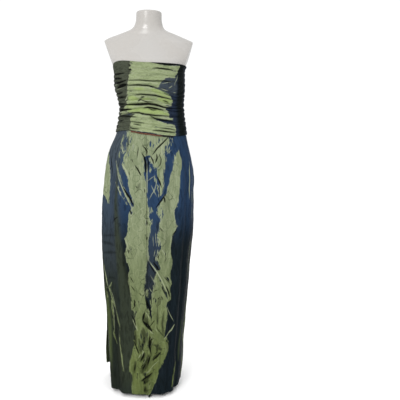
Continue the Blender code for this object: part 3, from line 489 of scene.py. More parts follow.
SKIRT_RIDGES = (
    Line(1.9, ((-36, 0.994), (-31.5, 0.960))),
    Line(3.1, ((-31, 0.922), (-25, 0.900), (-19, 0.862))),
    Line(1.8, ((-37.5, 0.842), (-32.5, 0.824), (-28.5, 0.800))),
    Line(1.6, ((0.5, 0.946), (0.5, 0.882), (0.5, 0.800))),
    Line(1.2, ((1, 0.858), (6, 0.872), (10.5, 0.880))),
    Line(1.6, ((4.5, 0.844), (8, 0.820), (11.5, 0.798))),
    Line(1.3, ((3, 0.498), (8, 0.470), (11, 0.446))),
    Line(1.5, ((14, 0.512), (21, 0.486), (27, 0.458), (33, 0.428))),
    Line(1.4, ((2.5, 0.786), (5.5, 0.808), (8.5, 0.822), (10.5, 0.844), (11.5, 0.870))),
    Line(1.6, ((12.5, 0.828), (15.5, 0.802))),
    Line(1.2, ((24.5, 0.956), (30, 0.968), (35, 0.978))),
    Line(1.2, ((33.5, 0.938), (39, 0.930), (47.5, 0.910))),
    Line(3.0, ((73, 0.940), (69, 0.896), (69, 0.856), (68.5, 0.780))),
    Line(1.8, ((-75.5, 0.966), (-61.5, 0.944))),
    Line(1.9, ((-45.5, 0.936), (-38.5, 0.900), (-31.5, 0.854),
               (-25, 0.812), (-19, 0.778), (-14.5, 0.752))),
    Line(1.8, ((-24.5, 0.638), (-21.5, 0.620), (-20.5, 0.600))),
    Line(1.4, ((15, 0.686), (21, 0.664))),
    Line(1.2, ((9.5, 0.662), (10, 0.632), (11.5, 0.602))),
    Line(2.7, ((0.5, 0.558), (5.5, 0.534), (12, 0.508),
               (19.5, 0.470), (26, 0.434), (32.5, 0.404))),
    Line(1.6, ((12, 0.574), (13, 0.598))),
    Line(1.1, ((6.5, 0.650), (7.5, 0.606))),
    Line(1.2, ((9.5, 0.596), (8, 0.566))),
    Line(1.4, ((27.5, 0.492), (34.5, 0.458))),
    Line(2.3, ((17.5, 0.596), (23, 0.574))),
    Line(1.9, ((-53.5, 0.430), (-50.5, 0.400), (-47.5, 0.368), (-42, 0.332), (-38.5, 0.290))),
    Line(1.8, ((-64, 0.520), (-60.5, 0.482), (-57, 0.422))),
    Line(1.6, ((2, 0.448), (4.5, 0.432), (8.5, 0.426))),
    Line(1.8, ((25.5, 0.380), (31, 0.350), (38.5, 0.318), (43, 0.298))),
    Line(2.9, ((43, 0.294), (38, 0.270), (30, 0.254), (24, 0.238))),
    Line(1.8, ((-53.5, 0.382), (-52, 0.342), (-51.5, 0.294), (-52, 0.248))),
    Line(1.8, ((-38, 0.270), (-37, 0.210), (-33.5, 0.152), (-30, 0.100))),
    Line(2.5, ((-17, 0.322), (-13.5, 0.298), (-10.5, 0.274))),
    Line(2.1, ((-6.5, 0.200), (-4.5, 0.190), (-6.5, 0.172))),
    Line(1.8, ((-10.5, 0.164), (-7.5, 0.182))),
    Line(1.6, ((0.5, 0.230), (6.5, 0.252))),
    Line(2.3, ((0.5, 0.290), (4.5, 0.268), (9, 0.258))),
    Line(1.6, ((10.5, 0.284), (15.5, 0.264))),
    Line(1.6, ((-2, 0.354), (0.5, 0.338), (3.5, 0.314))),
    Line(1.9, ((34.5, 0.226), (31.5, 0.204), (27.5, 0.186))),
    Line(1.5, ((8.5, 0.242), (4.5, 0.214), (1.5, 0.194))),
    Line(1.4, ((-1, 0.168), (-5.5, 0.136))),
    Line(1.5, ((19, 0.158), (5, 0.126), (-4, 0.098))),
    Line(1.3, ((6, 0.122), (-1.5, 0.102))),
    Line(1.3, ((-7.5, 0.168), (-3, 0.188))),
    Line(1.3, ((-11.5, 0.248), (-7.5, 0.188))),
)
BODICE_GROOVES = (
    Line(5.0, ((5.5, 1.305), (17.5, 1.300), (34, 1.298), (53.5, 1.301))),
    Line(2.8, ((9, 1.281), (14.5, 1.282), (27, 1.279), (42, 1.276))),
    Line(2.0, ((-27.5, 1.236), (-7, 1.236), (5, 1.233), (24, 1.234), (40, 1.231))),
    Line(2.6, ((-28.5, 1.218), (-10, 1.219), (1.5, 1.217), (14.5, 1.209))),
    Line(2.8, ((-18, 1.182), (-7, 1.185), (2.5, 1.183),
               (12, 1.181), (24.5, 1.174), (39.5, 1.168))),
    Line(4.6, ((-43.5, 1.148), (-23, 1.148), (-8.5, 1.148), (2, 1.150),
               (12, 1.147), (25, 1.138), (40.5, 1.132))),
    Line(3.6, ((-4, 1.134), (2, 1.137), (9, 1.134), (17, 1.130), (25, 1.126))),
    Line(1.8, ((3, 1.132), (8, 1.126), (14, 1.126))),
    Line(4.9, ((-80, 1.130), (-44.5, 1.128), (-28, 1.130))),
    Line(2.8, ((-30, 1.117), (-13, 1.117), (-0.5, 1.110), (12, 1.106), (33.5, 1.104))),
    Line(2.8, ((4.5, 1.105), (11.5, 1.095), (24, 1.089), (40.5, 1.085))),
    Line(1.6, ((-29, 1.084), (-16, 1.081), (-3.5, 1.078))),
    Line(1.6, ((-21.5, 1.074), (-8, 1.069))),
    Line(2.8, ((8.5, 1.049), (18.5, 1.048), (31, 1.044), (44, 1.042))),
    Line(2.4, ((-7.5, 1.174), (-2, 1.176))),
    Line(2.4, ((-13, 1.160), (-7, 1.168))),
    Line(1.6, ((-10, 1.166), (1, 1.158), (9, 1.156))),
    Line(1.9, ((18.5, 1.059), (35, 1.055), (44.5, 1.051))),
    Line(1.9, ((24.5, 1.163), (34, 1.156))),
    Line(3.8, ((-80, 1.250), (-50, 1.245), (-41, 1.245))),
    Line(4.5, ((-78.5, 1.231), (-50.5, 1.229), (-31.5, 1.236))),
    Line(6.8, ((-56, 1.210), (-46, 1.216), (-31, 1.222))),
    Line(3.5, ((-81.5, 1.179), (-56.5, 1.175), (-38, 1.176))),
    Line(3.5, ((-82, 1.153), (-59.5, 1.151), (-43.5, 1.151))),
    Line(2.8, ((-82, 1.105), (-43.5, 1.105), (-18.5, 1.101))),
    Line(3.5, ((-82, 1.061), (-64, 1.069))),
    Line(2.8, ((-76, 1.264), (-53.5, 1.263), (-36, 1.264))),
    Line(2.4, ((-25, 1.295), (-21, 1.293))),
    Line(2.6, ((-26.5, 1.279), (-20, 1.274))),
    Line(2.2, ((-29.5, 1.060), (-20, 1.056), (-11, 1.055))),
    Line(2.6, ((-74, 1.192), (-58, 1.190), (-44, 1.195))),
    Line(2.2, ((-70, 1.141), (-56, 1.139), (-46, 1.142))),
    Line(2.4, ((-78, 1.088), (-60, 1.086), (-48, 1.090))),
)
BODICE_RIDGES = (
    Line(1.9, ((-9, 1.145), (2, 1.148), (13.5, 1.142), (25, 1.131), (30, 1.127))),
    Line(1.4, ((-22, 1.160), (-8.5, 1.158), (5, 1.160))),
    Line(1.4, ((-27, 1.212), (-0.5, 1.211), (11.5, 1.204))),
    Line(2.3, ((5, 1.227), (17.5, 1.224))),
    Line(1.4, ((19, 1.222), (29, 1.227), (42.5, 1.233))),
    Line(1.8, ((19, 1.208), (27.5, 1.201), (36.5, 1.196))),
    Line(1.8, ((32.5, 1.207), (40.5, 1.218))),
    Line(1.6, ((44.5, 1.217), (49, 1.240), (54, 1.259))),
    Line(1.8, ((-44.5, 1.162), (-34.5, 1.172))),
    Line(1.4, ((42, 1.193), (50, 1.193))),
    Line(1.6, ((24.5, 1.117), (32, 1.121))),
    Line(1.6, ((-39, 1.140), (-15, 1.141), (-0.5, 1.143))),
    Line(1.4, ((-25, 1.097), (-7, 1.098), (4.5, 1.093))),
    Line(1.9, ((-65, 1.117), (-51, 1.122))),
    Line(2.0, ((-14, 1.160), (4, 1.163), (16, 1.159), (28, 1.150))),
    Line(2.2, ((-2, 1.147), (9, 1.145), (21, 1.137), (33, 1.124))),
    Line(1.8, ((20, 1.190), (30, 1.182), (40, 1.177))),
    Line(1.6, ((12, 1.101), (24, 1.096), (38, 1.093))),
    Line(1.5, ((24, 1.064), (33, 1.059), (39, 1.066))),
    Line(1.3, ((36, 1.052), (42, 1.062), (45, 1.070))),
    Line(1.4, ((-38, 1.157), (-31, 1.166), (-27, 1.171))),
    Line(1.2, ((-62, 1.203), (-50, 1.207), (-38, 1.211))),
    Line(1.2, ((-70, 1.222), (-58, 1.223), (-48, 1.226))),
)
SKIRT_GREEN_FLECKS = (
    Line(2.5, ((23, 1.018), (19.5, 1.002))),
    Line(2.1, ((27.5, 1.020), (24.5, 1.000))),
    Line(2.9, ((30.5, 1.010), (26, 0.986))),
    Line(2.9, ((31, 0.986), (27, 0.966))),
    Line(2.9, ((21.5, 0.990), (22, 0.968))),
    Line(3.1, ((17.5, 0.986), (15.5, 0.968))),
    Line(2.9, ((14, 0.968), (15, 0.950))),
    Line(2.5, ((21, 0.968), (18.5, 0.944))),
    Line(3.1, ((10.5, 0.968), (8.5, 0.946))),
    Line(3.3, ((5, 0.954), (5.5, 0.926))),
    Line(2.5, ((7.5, 0.922), (9.5, 0.900))),
    Line(2.1, ((13.5, 0.930), (11.5, 0.908))),
    Line(2.1, ((3, 0.916), (3.5, 0.892))),
    Line(1.6, ((37.5, 1.016), (34, 0.994))),
    Line(1.8, ((-42, 1.028), (-39, 1.006))),
    Line(1.6, ((-42, 1.010), (-38, 0.984))),
    Line(1.4, ((-39.5, 0.968), (-36.5, 0.944))),
    Line(1.6, ((9.5, 0.870), (10.5, 0.850))),
    Line(1.9, ((12, 0.844), (14, 0.820))),
    Line(1.6, ((5.5, 0.760), (4.5, 0.736))),
    Line(1.8, ((7.5, 0.452), (9, 0.432))),
    Line(2.7, ((-0.5, 0.436), (0, 0.406))),
    Line(1.6, ((3, 0.398), (4.5, 0.372))),
    Line(1.9, ((22, 0.470), (27.5, 0.438))),
    Line(1.8, ((-19.5, 0.546), (-17, 0.522))),
    Line(1.8, ((-18, 0.468), (-15.5, 0.444))),
    Line(1.4, ((30, 0.730), (31, 0.702))),
    Line(2.5, ((-55.5, 0.430), (-53.5, 0.398), (-51, 0.370),
               (-44.5, 0.350), (-39, 0.318), (-36, 0.284))),
    Line(1.5, ((-54, 0.382), (-54, 0.334), (-53.5, 0.292), (-53, 0.256))),
    Line(1.5, ((-36.5, 0.276), (-37, 0.226), (-34.5, 0.168), (-31, 0.100))),
    Line(1.2, ((-56, 0.434), (-52.5, 0.448), (-49.5, 0.458))),
    Line(1.2, ((-54.5, 0.252), (-51.5, 0.226), (-46.5, 0.208))),
    Line(2.2, ((-44.5, 0.934), (-37.5, 0.902), (-31, 0.870), (-27.5, 0.836),
               (-22, 0.798), (-17, 0.768), (-14.5, 0.752))),
    Line(1.5, ((-40, 0.852), (-33, 0.828), (-28.5, 0.802), (-25.5, 0.788), (-21.5, 0.768))),
    Line(2.1, ((-36, 0.994), (-33, 0.976), (-31.5, 0.962))),
    Line(2.5, ((-28.5, 0.942), (-27.5, 0.926), (-26.5, 0.914))),
    Line(1.0, ((-64, 0.524), (-60, 0.466), (-60, 0.392))),
    Line(2.4, ((84, 0.930), (81, 0.880), (82, 0.820), (79, 0.770))),
    Line(1.6, ((97, 0.860), (94, 0.800), (95, 0.740))),
    Line(2.0, ((90, 0.640), (87, 0.570), (88, 0.500), (85, 0.440))),
    Line(1.8, ((80, 0.420), (82, 0.330), (79, 0.250), (80, 0.160))),
    Line(2.2, ((92, 0.330), (89, 0.260), (90, 0.170), (87, 0.090))),
    Line(4.2, ((57, 0.146), (48.5, 0.118), (45.5, 0.084), (43.5, 0.036))),
)
SKIRT_NAVY_FLECKS = (
    Line(1.6, ((88, 0.250), (89, 0.180))),
    Line(2.1, ((-33, 1.028), (-30.5, 1.006))),
    Line(1.6, ((-28, 1.014), (-26, 0.988))),
    Line(2.3, ((-28.5, 0.986), (-28, 0.964))),
    Line(2.3, ((-28, 0.956), (-25.5, 0.934))),
    Line(1.2, ((-24, 1.022), (-23, 1.002))),
    Line(1.4, ((-23, 0.976), (-23, 0.952))),
    Line(1.2, ((-17.5, 0.994), (-17, 0.972))),
    Line(1.4, ((5, 1.010), (4, 0.988))),
    Line(1.6, ((9, 0.998), (7.5, 0.980))),
    Line(1.6, ((18, 1.016), (14, 1.000))),
    Line(1.4, ((1, 0.990), (2, 0.976))),
    Line(1.9, ((-15.5, 0.786), (-14.5, 0.762))),
    Line(1.8, ((-17.5, 0.748), (-16.5, 0.724))),
    Line(1.4, ((-18, 0.678), (-19.5, 0.654))),
    Line(1.9, ((-17, 0.608), (-18.5, 0.580))),
    Line(1.8, ((-0.5, 0.712), (0, 0.686))),
    Line(1.4, ((-0.5, 0.592), (0.5, 0.568))),
    Line(1.8, ((16.5, 0.756), (18, 0.736))),
    Line(2.1, ((18.5, 0.732), (16.5, 0.706))),
    Line(1.6, ((16, 0.632), (15.5, 0.606))),
    Line(1.9, ((19.5, 0.592), (23.5, 0.572))),
    Line(1.4, ((29, 0.544), (28, 0.520))),
    Line(1.8, ((14.5, 0.496), (17.5, 0.470))),
    Line(2.6, ((27, 0.486), (32, 0.464))),
    Line(1.6, ((21, 0.494), (26.5, 0.474))),
    Line(1.8, ((10, 0.404), (11.5, 0.380))),
    Line(1.6, ((14, 0.372), (13.5, 0.344))),
    Line(2.5, ((-4.5, 0.226), (-5.5, 0.198))),
    Line(1.9, ((0, 0.270), (-0.5, 0.246))),
    Line(1.9, ((-7.5, 0.266), (-7, 0.238))),
    Line(1.6, ((15, 0.216), (13.5, 0.196))),
    Line(1.4, ((-12, 0.108), (-13, 0.074))),
    Line(1.6, ((2.5, 0.062), (0.5, 0.038))),
    Line(2.1, ((-1.5, 0.108), (-3, 0.088))),
    Line(1.6, ((22.5, 0.316), (24, 0.288))),
    Line(1.6, ((-12, 0.354), (-13.5, 0.330))),
    Line(1.2, ((-8.5, 0.394), (-8, 0.366))),
    Line(2.1, ((-31, 0.934), (-27.5, 0.920), (-23.5, 0.908))),
    Line(1.4, ((38.5, 0.932), (40.5, 0.922), (43, 0.922))),
    Line(2.5, ((-16.5, 0.748), (-15.5, 0.740), (-15.5, 0.730))),
    Line(2.3, ((18, 0.736), (14.5, 0.724), (11, 0.712))),
    Line(1.8, ((-19.5, 0.590), (-19.5, 0.576))),
    Line(1.2, ((-1, 0.576), (-1, 0.566))),
    Line(4.3, ((18.5, 0.462), (23.5, 0.432), (29.5, 0.394))),
    Line(2.3, ((25, 0.488), (29, 0.476), (33.5, 0.462))),
    Line(2.5, ((-19, 0.328), (-16.5, 0.310), (-12, 0.278))),
    Line(1.2, ((23.5, 0.228), (30, 0.232), (35, 0.214))),
    Line(2.1, ((-3.5, 0.250), (-3.5, 0.226))),
    Line(2.5, ((-7, 0.222), (-7.5, 0.206))),
    Line(1.2, ((14, 0.324), (14, 0.300))),
    Line(2.7, ((2, 0.230), (1, 0.206))),
    Line(1.8, ((19, 0.040), (14.5, 0.016))),
)
# Bands of painted light low on the sides of the skirt.
SKIRT_BANDS = (
    Line(7.0, ((-72, 0.520), (-66, 0.440), (-62, 0.380), (-61, 0.300),
               (-62, 0.200), (-63, 0.050))),
    Line(2.4, ((86, 0.400), (84, 0.320), (82, 0.220), (80, 0.120))),
    Line(1.8, ((70, 0.290), (69, 0.220), (67, 0.130))),
)
# Soft patches of painted shade on the skirt.
SKIRT_SHADES = (
    Line(6.2, ((-4.5, 0.286), (-3, 0.250), (-4, 0.218))),
    Line(4.7, ((-6.5, 0.214), (-7.5, 0.190))),
    Line(6.6, ((-1, 0.158), (-3.5, 0.128), (-6.5, 0.104))),
    Line(5.1, ((-1, 0.088), (-3.5, 0.060))),
    Line(4.3, ((15.5, 0.220), (14, 0.188))),
    Line(3.1, ((14, 0.356), (14.5, 0.300))),
    Line(3.9, ((-14, 0.278), (-13.5, 0.216))),
    Line(4.3, ((18.5, 0.408), (15, 0.384), (13, 0.368))),
    Line(3.5, ((-62.5, 0.638), (-53, 0.642), (-36.5, 0.646))),
    Line(4.7, ((-63.5, 0.616), (-55, 0.610), (-40, 0.606))),
    Line(5.1, ((-63.5, 0.570), (-54, 0.574), (-36, 0.580))),
    Line(3.1, ((-42.5, 0.720), (-37.5, 0.706), (-45.5, 0.692))),
    Line(2.7, ((-56.5, 0.470), (-50, 0.474), (-38, 0.476))),
    Line(4.7, ((-25, 0.630), (-26, 0.544), (-22.5, 0.490), (-20, 0.420))),
    Line(5.8, ((45.5, 0.666), (44, 0.636))),
    Line(3.5, ((-6.5, 0.850), (-9, 0.824))),
    Line(2.7, ((12.5, 0.702), (12, 0.670))),
    Line(3.5, ((-29.5, 1.026), (-26.5, 0.994), (-25, 0.964))),
    Line(6.5, ((-3.5, 0.338), (-2, 0.312), (1.5, 0.286))),
    Line(6.0, ((-6, 0.276), (-4, 0.262), (-1.5, 0.246))),
    Line(5.2, ((3, 0.248), (4, 0.222), (2, 0.198))),
    Line(6.0, ((1.5, 0.178), (-1, 0.144), (-4, 0.118))),
    Line(5.0, ((-3, 0.184), (-7.5, 0.152))),
    Line(5.5, ((10.5, 0.216), (17.5, 0.202), (21.5, 0.196))),
    Line(5.0, ((7, 0.158), (20, 0.186))),
    Line(4.6, ((-6.5, 0.070), (5.5, 0.102))),
    Line(3.2, ((-14.5, 0.150), (-16.5, 0.104))),
    Line(4.0, ((-4.5, 0.106), (-2, 0.090))),
    Line(3.6, ((-3, 0.050), (-2, 0.022))),
    Line(3.4, ((23.5, 0.350), (21.5, 0.304), (23.5, 0.254))),
    Line(3.0, ((-9.5, 0.242), (-8.5, 0.208), (-6.5, 0.192))),
)
BODICE_NAVY_FLECKS = (
    Line(1.6, ((-22, 1.302), (-17, 1.300))),
    Line(1.4, ((-24.5, 1.265), (-17, 1.263))),
    Line(1.2, ((-30, 1.198), (-20.5, 1.196))),
    Line(2.5, ((5, 1.213), (14.5, 1.206))),
    Line(2.3, ((40.5, 1.208), (52, 1.207))),
    Line(2.5, ((33, 1.187), (45.5, 1.184))),
    Line(1.9, ((36, 1.158), (47, 1.153))),
    Line(2.7, ((28.5, 1.144), (42.5, 1.139))),
    Line(1.9, ((30, 1.119), (41.5, 1.116))),
    Line(1.8, ((26, 1.100), (37, 1.099))),
    Line(1.9, ((-47, 1.121), (-30, 1.118))),
    Line(1.6, ((-33.5, 1.064), (-24.5, 1.061))),
    Line(1.4, ((38, 1.274), (49, 1.272))),
    Line(1.2, ((11.5, 1.062), (18.5, 1.060))),
    Line(1.8, ((35.5, 1.066), (47.5, 1.063))),
    Line(1.2, ((-9, 1.111), (2, 1.106))),
)
# Painted highlights on the bodice's puffs.
BODICE_ACCENTS = (
    Line(6.5, ((7, 1.204), (14, 1.196), (24, 1.186), (36, 1.176))),
    Line(7.5, ((-34, 1.170), (-24, 1.171), (-14, 1.168))),
    Line(7.0, ((17, 1.168), (28, 1.163), (40, 1.160))),
    Line(6.5, ((-40, 1.143), (-28, 1.144), (-20, 1.145))),
    Line(8.0, ((-34, 1.124), (-12, 1.129), (6, 1.122), (20, 1.118), (33, 1.110))),
    Line(3.1, ((-4.5, 1.168), (5, 1.166))),
    Line(3.0, ((-16, 1.206), (-2, 1.205))),
)


# ------------------------------------------------------------- numbers ----

def linear_colour(hex_code):
    """The linear value of an sRGB hex colour, with alpha 1."""
    channels = [int(hex_code[place:place + 2], 16) / 255 for place in (1, 3, 5)]
    return tuple(c / 12.92 if c <= 0.04045 else ((c + 0.055) / 1.055) ** 2.4
                 for c in channels) + (1.0,)


# A layer of random relief: its height, its lumps' size across and along the
# cloth in millimetres, its seed, and how far it slants for each millimetre up.
Layer = namedtuple("Layer", "height across along seed slant", defaults=(0.0,))
SKIRT_RAGGED_ACROSS = (Layer(0.6, 22, 17, 3), Layer(0.8, 7, 9, 4))
SKIRT_RAGGED_ALONG = (Layer(1.0, 20, 22, 5), Layer(1.2, 7, 9, 6))
# Soft crumples: long ones down the cloth, small ones between them.
SKIRT_CRUMPLES = (
    Layer(0.0011, 30, 90, 7, 0.36), Layer(0.0007, 14, 46, 8, -0.28), Layer(0.0004, 8, 16, 9),
)
BODICE_RAGGED_ACROSS = (Layer(1.2, 16, 5, 13), Layer(1.4, 6, 2.6, 14))
BODICE_RAGGED_ALONG = (Layer(0.6, 20, 9, 15), Layer(0.5, 7, 5, 16))
BODICE_CRUMPLES = (Layer(0.0007, 30, 3.6, 17), Layer(0.0004, 12, 2.4, 18))


def smooth_curve(known_x, known_y, x):
    """Cubic through the known points that never overshoots them.

    Each tangent is the harmonic mean of the slopes beside it, weighted by
    their lengths, and 0 where they change sign.
    """
    known_x = np.asarray(known_x, dtype=float)
    known_y = np.asarray(known_y, dtype=float)
    steps = np.diff(known_x)
    slopes = np.diff(known_y) / steps
    tangents = np.zeros_like(known_y)
    same_way = slopes[:-1] * slopes[1:] > 0
    weight_a = 2 * steps[1:] + steps[:-1]
    weight_b = steps[1:] + 2 * steps[:-1]
    safe_a = np.where(same_way, slopes[:-1], 1.0)
    safe_b = np.where(same_way, slopes[1:], 1.0)
    harmonic = (weight_a + weight_b) / (weight_a / safe_a + weight_b / safe_b)
    tangents[1:-1] = np.where(same_way, harmonic, 0.0)
    tangents[0] = slopes[0]
    tangents[-1] = slopes[-1]
    x = np.clip(x, known_x[0], known_x[-1])
    index = np.clip(np.searchsorted(known_x, x, side="right") - 1, 0, len(steps) - 1)
    step = steps[index]
    t = (x - known_x[index]) / step
    return (known_y[index] * (1 + 2 * t) * (1 - t) ** 2
            + known_y[index + 1] * t * t * (3 - 2 * t)
            + step * tangents[index] * t * (1 - t) ** 2
            - step * tangents[index + 1] * t * t * (1 - t))


def smooth_step(low, high, x):
    """0 at low, 1 at high and 3t^2 - 2t^3 between them."""
    t = np.clip((x - low) / (high - low), 0.0, 1.0)
    return t * t * (3 - 2 * t)


def window(x, start, full, last, end):
    """1 from full to last, easing to 0 at start and at end."""
    return smooth_step(start, full, x) * smooth_step(end, last, x)


def random_field(x, y, seed):
    """Random heights from -1 to 1 on a unit lattice, eased between its points."""
    table = np.random.default_rng(seed).uniform(-1.0, 1.0, (128, 128))
    column = np.floor(x).astype(int)
    row = np.floor(y).astype(int)
    across = x - column
    up = y - row
    across = across * across * (3 - 2 * across)
    up = up * up * (3 - 2 * up)
    column, row = column % 128, row % 128
    beside, above = (column + 1) % 128, (row + 1) % 128
    low = table[row, column] * (1 - across) + table[row, beside] * across
    high = table[above, column] * (1 - across) + table[above, beside] * across
    return low * (1 - up) + high * up


def layered(x, y, layers):
    """Sum of random fields, x and y in millimetres of cloth."""
    return sum(layer.height * random_field((x + layer.slant * y) / layer.across,
                                           y / layer.along, layer.seed) for layer in layers)


def section_value(sections, name, height):
    """One column of a section table, read at any height."""
    return smooth_curve([row.height for row in sections],
                        [getattr(row, name) for row in sections], height)


def section_surface(sections, angle, height):
    """Points and outward normals of the lofted sections.

    Each quarter of a section is a superellipse |x/width|^p + |y/depth|^p = 1
    from the half-width on its side to the depth in front or behind.
    """
    turn = np.radians(angle)
    sine = np.sin(turn)
    cosine = np.cos(turn)
    power = section_value(sections, "power", height)
    right_side = section_value(sections, "right", height)
    right_side = right_side + np.where(cosine < 0, section_value(sections, "spread", height), 0.0)
    width = np.where(sine < 0, right_side, section_value(sections, "left", height))
    depth = np.where(cosine > 0, section_value(sections, "front", height),
                     section_value(sections, "back", height))
    x = np.sign(sine) * np.abs(sine) ** (2 / power)
    y = -np.sign(cosine) * np.abs(cosine) ** (2 / power)
    normal_x = np.sign(x) * np.abs(x) ** (power - 1) / width
    normal_y = np.sign(y) * np.abs(y) ** (power - 1) / depth
    length = np.hypot(normal_x, normal_y)
    points = np.stack([AXIS_X + x * width, AXIS_Y + y * depth, height + 0 * x], axis=-1)
    normals = np.stack([normal_x / length, normal_y / length, 0 * x], axis=-1)
    return points, normals


def patch_distance(rows, angle, height, millimetres, end_share=1.0):
    """Signed distance in millimetres into a patch given by its two sides.

    It is the least of the distances to the left side, the right side, the
    top and the bottom, so it is positive inside the patch; a small share of
    the distances to its ends makes them soft.
    """
    table = np.array(rows[::-1], dtype=float)
    left = np.interp(height, table[:, 0], table[:, 1])
    right = np.interp(height, table[:, 0], table[:, 2])
    sides = np.minimum(angle - left, right - angle) * millimetres
    ends = np.minimum(height - table[0, 0], table[-1, 0] - height) * 1000 * end_share
    return np.minimum(sides, ends)


def outline_distance(outline, angle, height, millimetres):
    """Signed distance in millimetres into an outline, positive inside it.

    It is the distance to the nearest side; a place is inside when a line
    from it to the right crosses an odd number of sides.
    """
    stops = np.array(outline, dtype=float) * (millimetres, 1000.0)
    x = angle * millimetres
    y = height * 1000.0 + 0 * x
    nearest = np.full(x.shape, 1e9)
    inside = np.zeros(x.shape, dtype=bool)
    for start, end in zip(stops, np.roll(stops, -1, axis=0)):
        way = end - start
        run = np.clip(((x - start[0]) * way[0] + (y - start[1]) * way[1]) / (way @ way), 0.0, 1.0)
        off = np.hypot(x - start[0] - run * way[0], y - start[1] - run * way[1])
        nearest = np.minimum(nearest, off)
        if way[1] != 0:
            between = (start[1] > y) != (end[1] > y)
            inside ^= between & (x < start[0] + (y - start[1]) / way[1] * way[0])
    return np.where(inside, nearest, -nearest)


def line_distance(lines, angle, height, millimetres):
    """Distance in millimetres into the nearest crease of a table.

    A crease is a lens: its half-width at each point along it is the width
    times 0.2 + 0.8 sin(pi share)^0.7, and the distance is that less the
    distance from its middle line, so it is positive inside the crease.
    """
    x = angle * millimetres
    y = height * 1000.0
    inside = np.full(x.shape, -40.0)
    for line in lines:
        stops = np.array(line.points, dtype=float) * (millimetres, 1000.0)
        spans = np.hypot(*np.diff(stops, axis=0).T)
        nearest = np.full(x.shape, 1e9)
        along = np.zeros(x.shape)
        for place, span in enumerate(spans):
            start = stops[place]
            way = (stops[place + 1] - start) / span
            run = np.clip((x - start[0]) * way[0] + (y - start[1]) * way[1], 0.0, span)
            off = np.hypot(x - start[0] - run * way[0], y - start[1] - run * way[1])
            closer = off < nearest
            nearest = np.where(closer, off, nearest)
            along = np.where(closer, (run + spans[:place].sum()) / spans.sum(), along)
        lens = 0.2 + 0.8 * np.sin(np.pi * along) ** 0.7
        inside = np.maximum(inside, line.width * lens - nearest)
    return inside


def groove_relief(inside, depth):
    """Relief of a crease: depth within it, and a lip a third as high beside it."""
    return depth * (smooth_step(-2.5, 1.5, inside)
                    - 0.35 * np.exp(-((inside + 4.5) / 2.0) ** 2))


def behind(angle, height):
    """The place in front that a place on the back panel takes its creases from."""
    at_back = angle > SKIRT_SEAM_LEFT + 0.01
    sway = SKIRT_SWAY * np.sin(height * 7.0 + 1.0)
    return (np.where(at_back, SKIRT_MIRROR - angle + sway, angle),
            np.where(at_back, SKIRT_BACK_LENGTH * height + SKIRT_BACK_RISE, height))


# -------------------------------------------------------------- meshes ----

def grid_quads(rows, columns, closed=False):
    """Quads over a grid of points stored row by row, facing outwards."""
    last = columns if closed else columns - 1
    row, column = np.meshgrid(np.arange(rows - 1), np.arange(last), indexing="ij")
    here = row * columns + column
    beside = row * columns + (column + 1) % columns
    return np.stack([here, beside, beside + columns, here + columns], axis=-1).reshape(-1, 4)


def mesh_of(name, points, quads, fields=None, cloth=None):
    """A mesh of points and quads with one point attribute for each field."""
    mesh = bpy.data.meshes.new(name)
    points = points.reshape(-1, 3)
    mesh.vertices.add(len(points))
    mesh.vertices.foreach_set("co", points.astype(np.float32).ravel())
    mesh.loops.add(quads.size)
    mesh.loops.foreach_set("vertex_index", quads.astype(np.int32).ravel())
    mesh.polygons.add(len(quads))
    mesh.polygons.foreach_set("loop_start", np.arange(0, quads.size, 4, dtype=np.int32))
    if cloth is not None:
        layer = mesh.uv_layers.new(name="cloth")
        layer.data.foreach_set("uv", cloth.reshape(-1, 2)[quads.ravel()].astype(np.float32).ravel())
    mesh.update(calc_edges=True)
    mesh.validate()
    for field, values in (fields or {}).items():
        attribute = mesh.attributes.new(field, "FLOAT", "POINT")
        attribute.data.foreach_set("value", values.astype(np.float32).ravel())
    mesh.shade_smooth()
    return mesh


def add_piece(name, mesh, material, slot, *nodes):
    """Link a piece, give it its finish and let it stand for its CAD nodes."""
    piece = bpy.data.objects.new(name, mesh)
    bpy.context.scene.collection.objects.link(piece)
    mesh.materials.append(material)
    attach(piece, "root")
    if nodes:
        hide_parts(*nodes)
    return piece


def add_wall(piece, thickness):
    """Give a sheet its thickness, half to each side."""
    wall = piece.modifiers.new("wall", "SOLIDIFY")
    wall.thickness = thickness
    wall.offset = 0.0
    wall.use_rim = True


# ----------------------------------------------------------- materials ----

EASED = {"interpolation_type": "SMOOTHSTEP"}
COLOURS = {"data_type": "RGBA"}
FLAT_NOISE = {"noise_dimensions": "2D"}
FLAT_CELLS = {"voronoi_dimensions": "2D", "feature": "F1"}
FLAT_CELL_EDGES = {"voronoi_dimensions": "2D", "feature": "DISTANCE_TO_EDGE"}
TIMES = {"operation": "MULTIPLY"}
TIMES_PLUS = {"operation": "MULTIPLY_ADD"}
LESS = {"operation": "SUBTRACT"}

# Sizes in millimetres that the patterns' scales are worked out from.
CRUMPLE_MM = 18.18          # the taffeta's fine crumple
CRUMPLE_BEND = 0.012        # how far it pushes the facets' sides, in metres
RIB_MM = 8.727              # its cross ribs, as drawn
SLUB_MM = 3.846             # slubs of the backing's edge
CLOUD_MM = 111.0            # warmer clouds in the moulding
MOULDING_PEEL_MM = 3.03     # orange peel of the moulding
ENAMEL_PEEL_MM = 2.38       # and of the enamel

# A taffeta, in millimetres: half the width over which its two faces meet, a
# facet's size across and along, and how far the facets push the border of the
# faces about; their slant is in degrees.
Taffeta = namedtuple("Taffeta", "edge across along slant reach")
SKIRT_TAFFETA = Taffeta(1.1, 10.0, 55.0, 9, 3.4)
BODICE_TAFFETA = Taffeta(1.0, 36.0, 5.0, 2, 2.2)
# Masks that lay out the colour. Several paint light into it: painted shade towards the hem and on
# the darker sides, painted shadow, a grey bloom of painted light and painted highlight; the green
# face is partly painted sheen.
MASKS = ("tone", "groove", "ridge", "fade", "grey", "olive", "accent", "fray", "shadow")


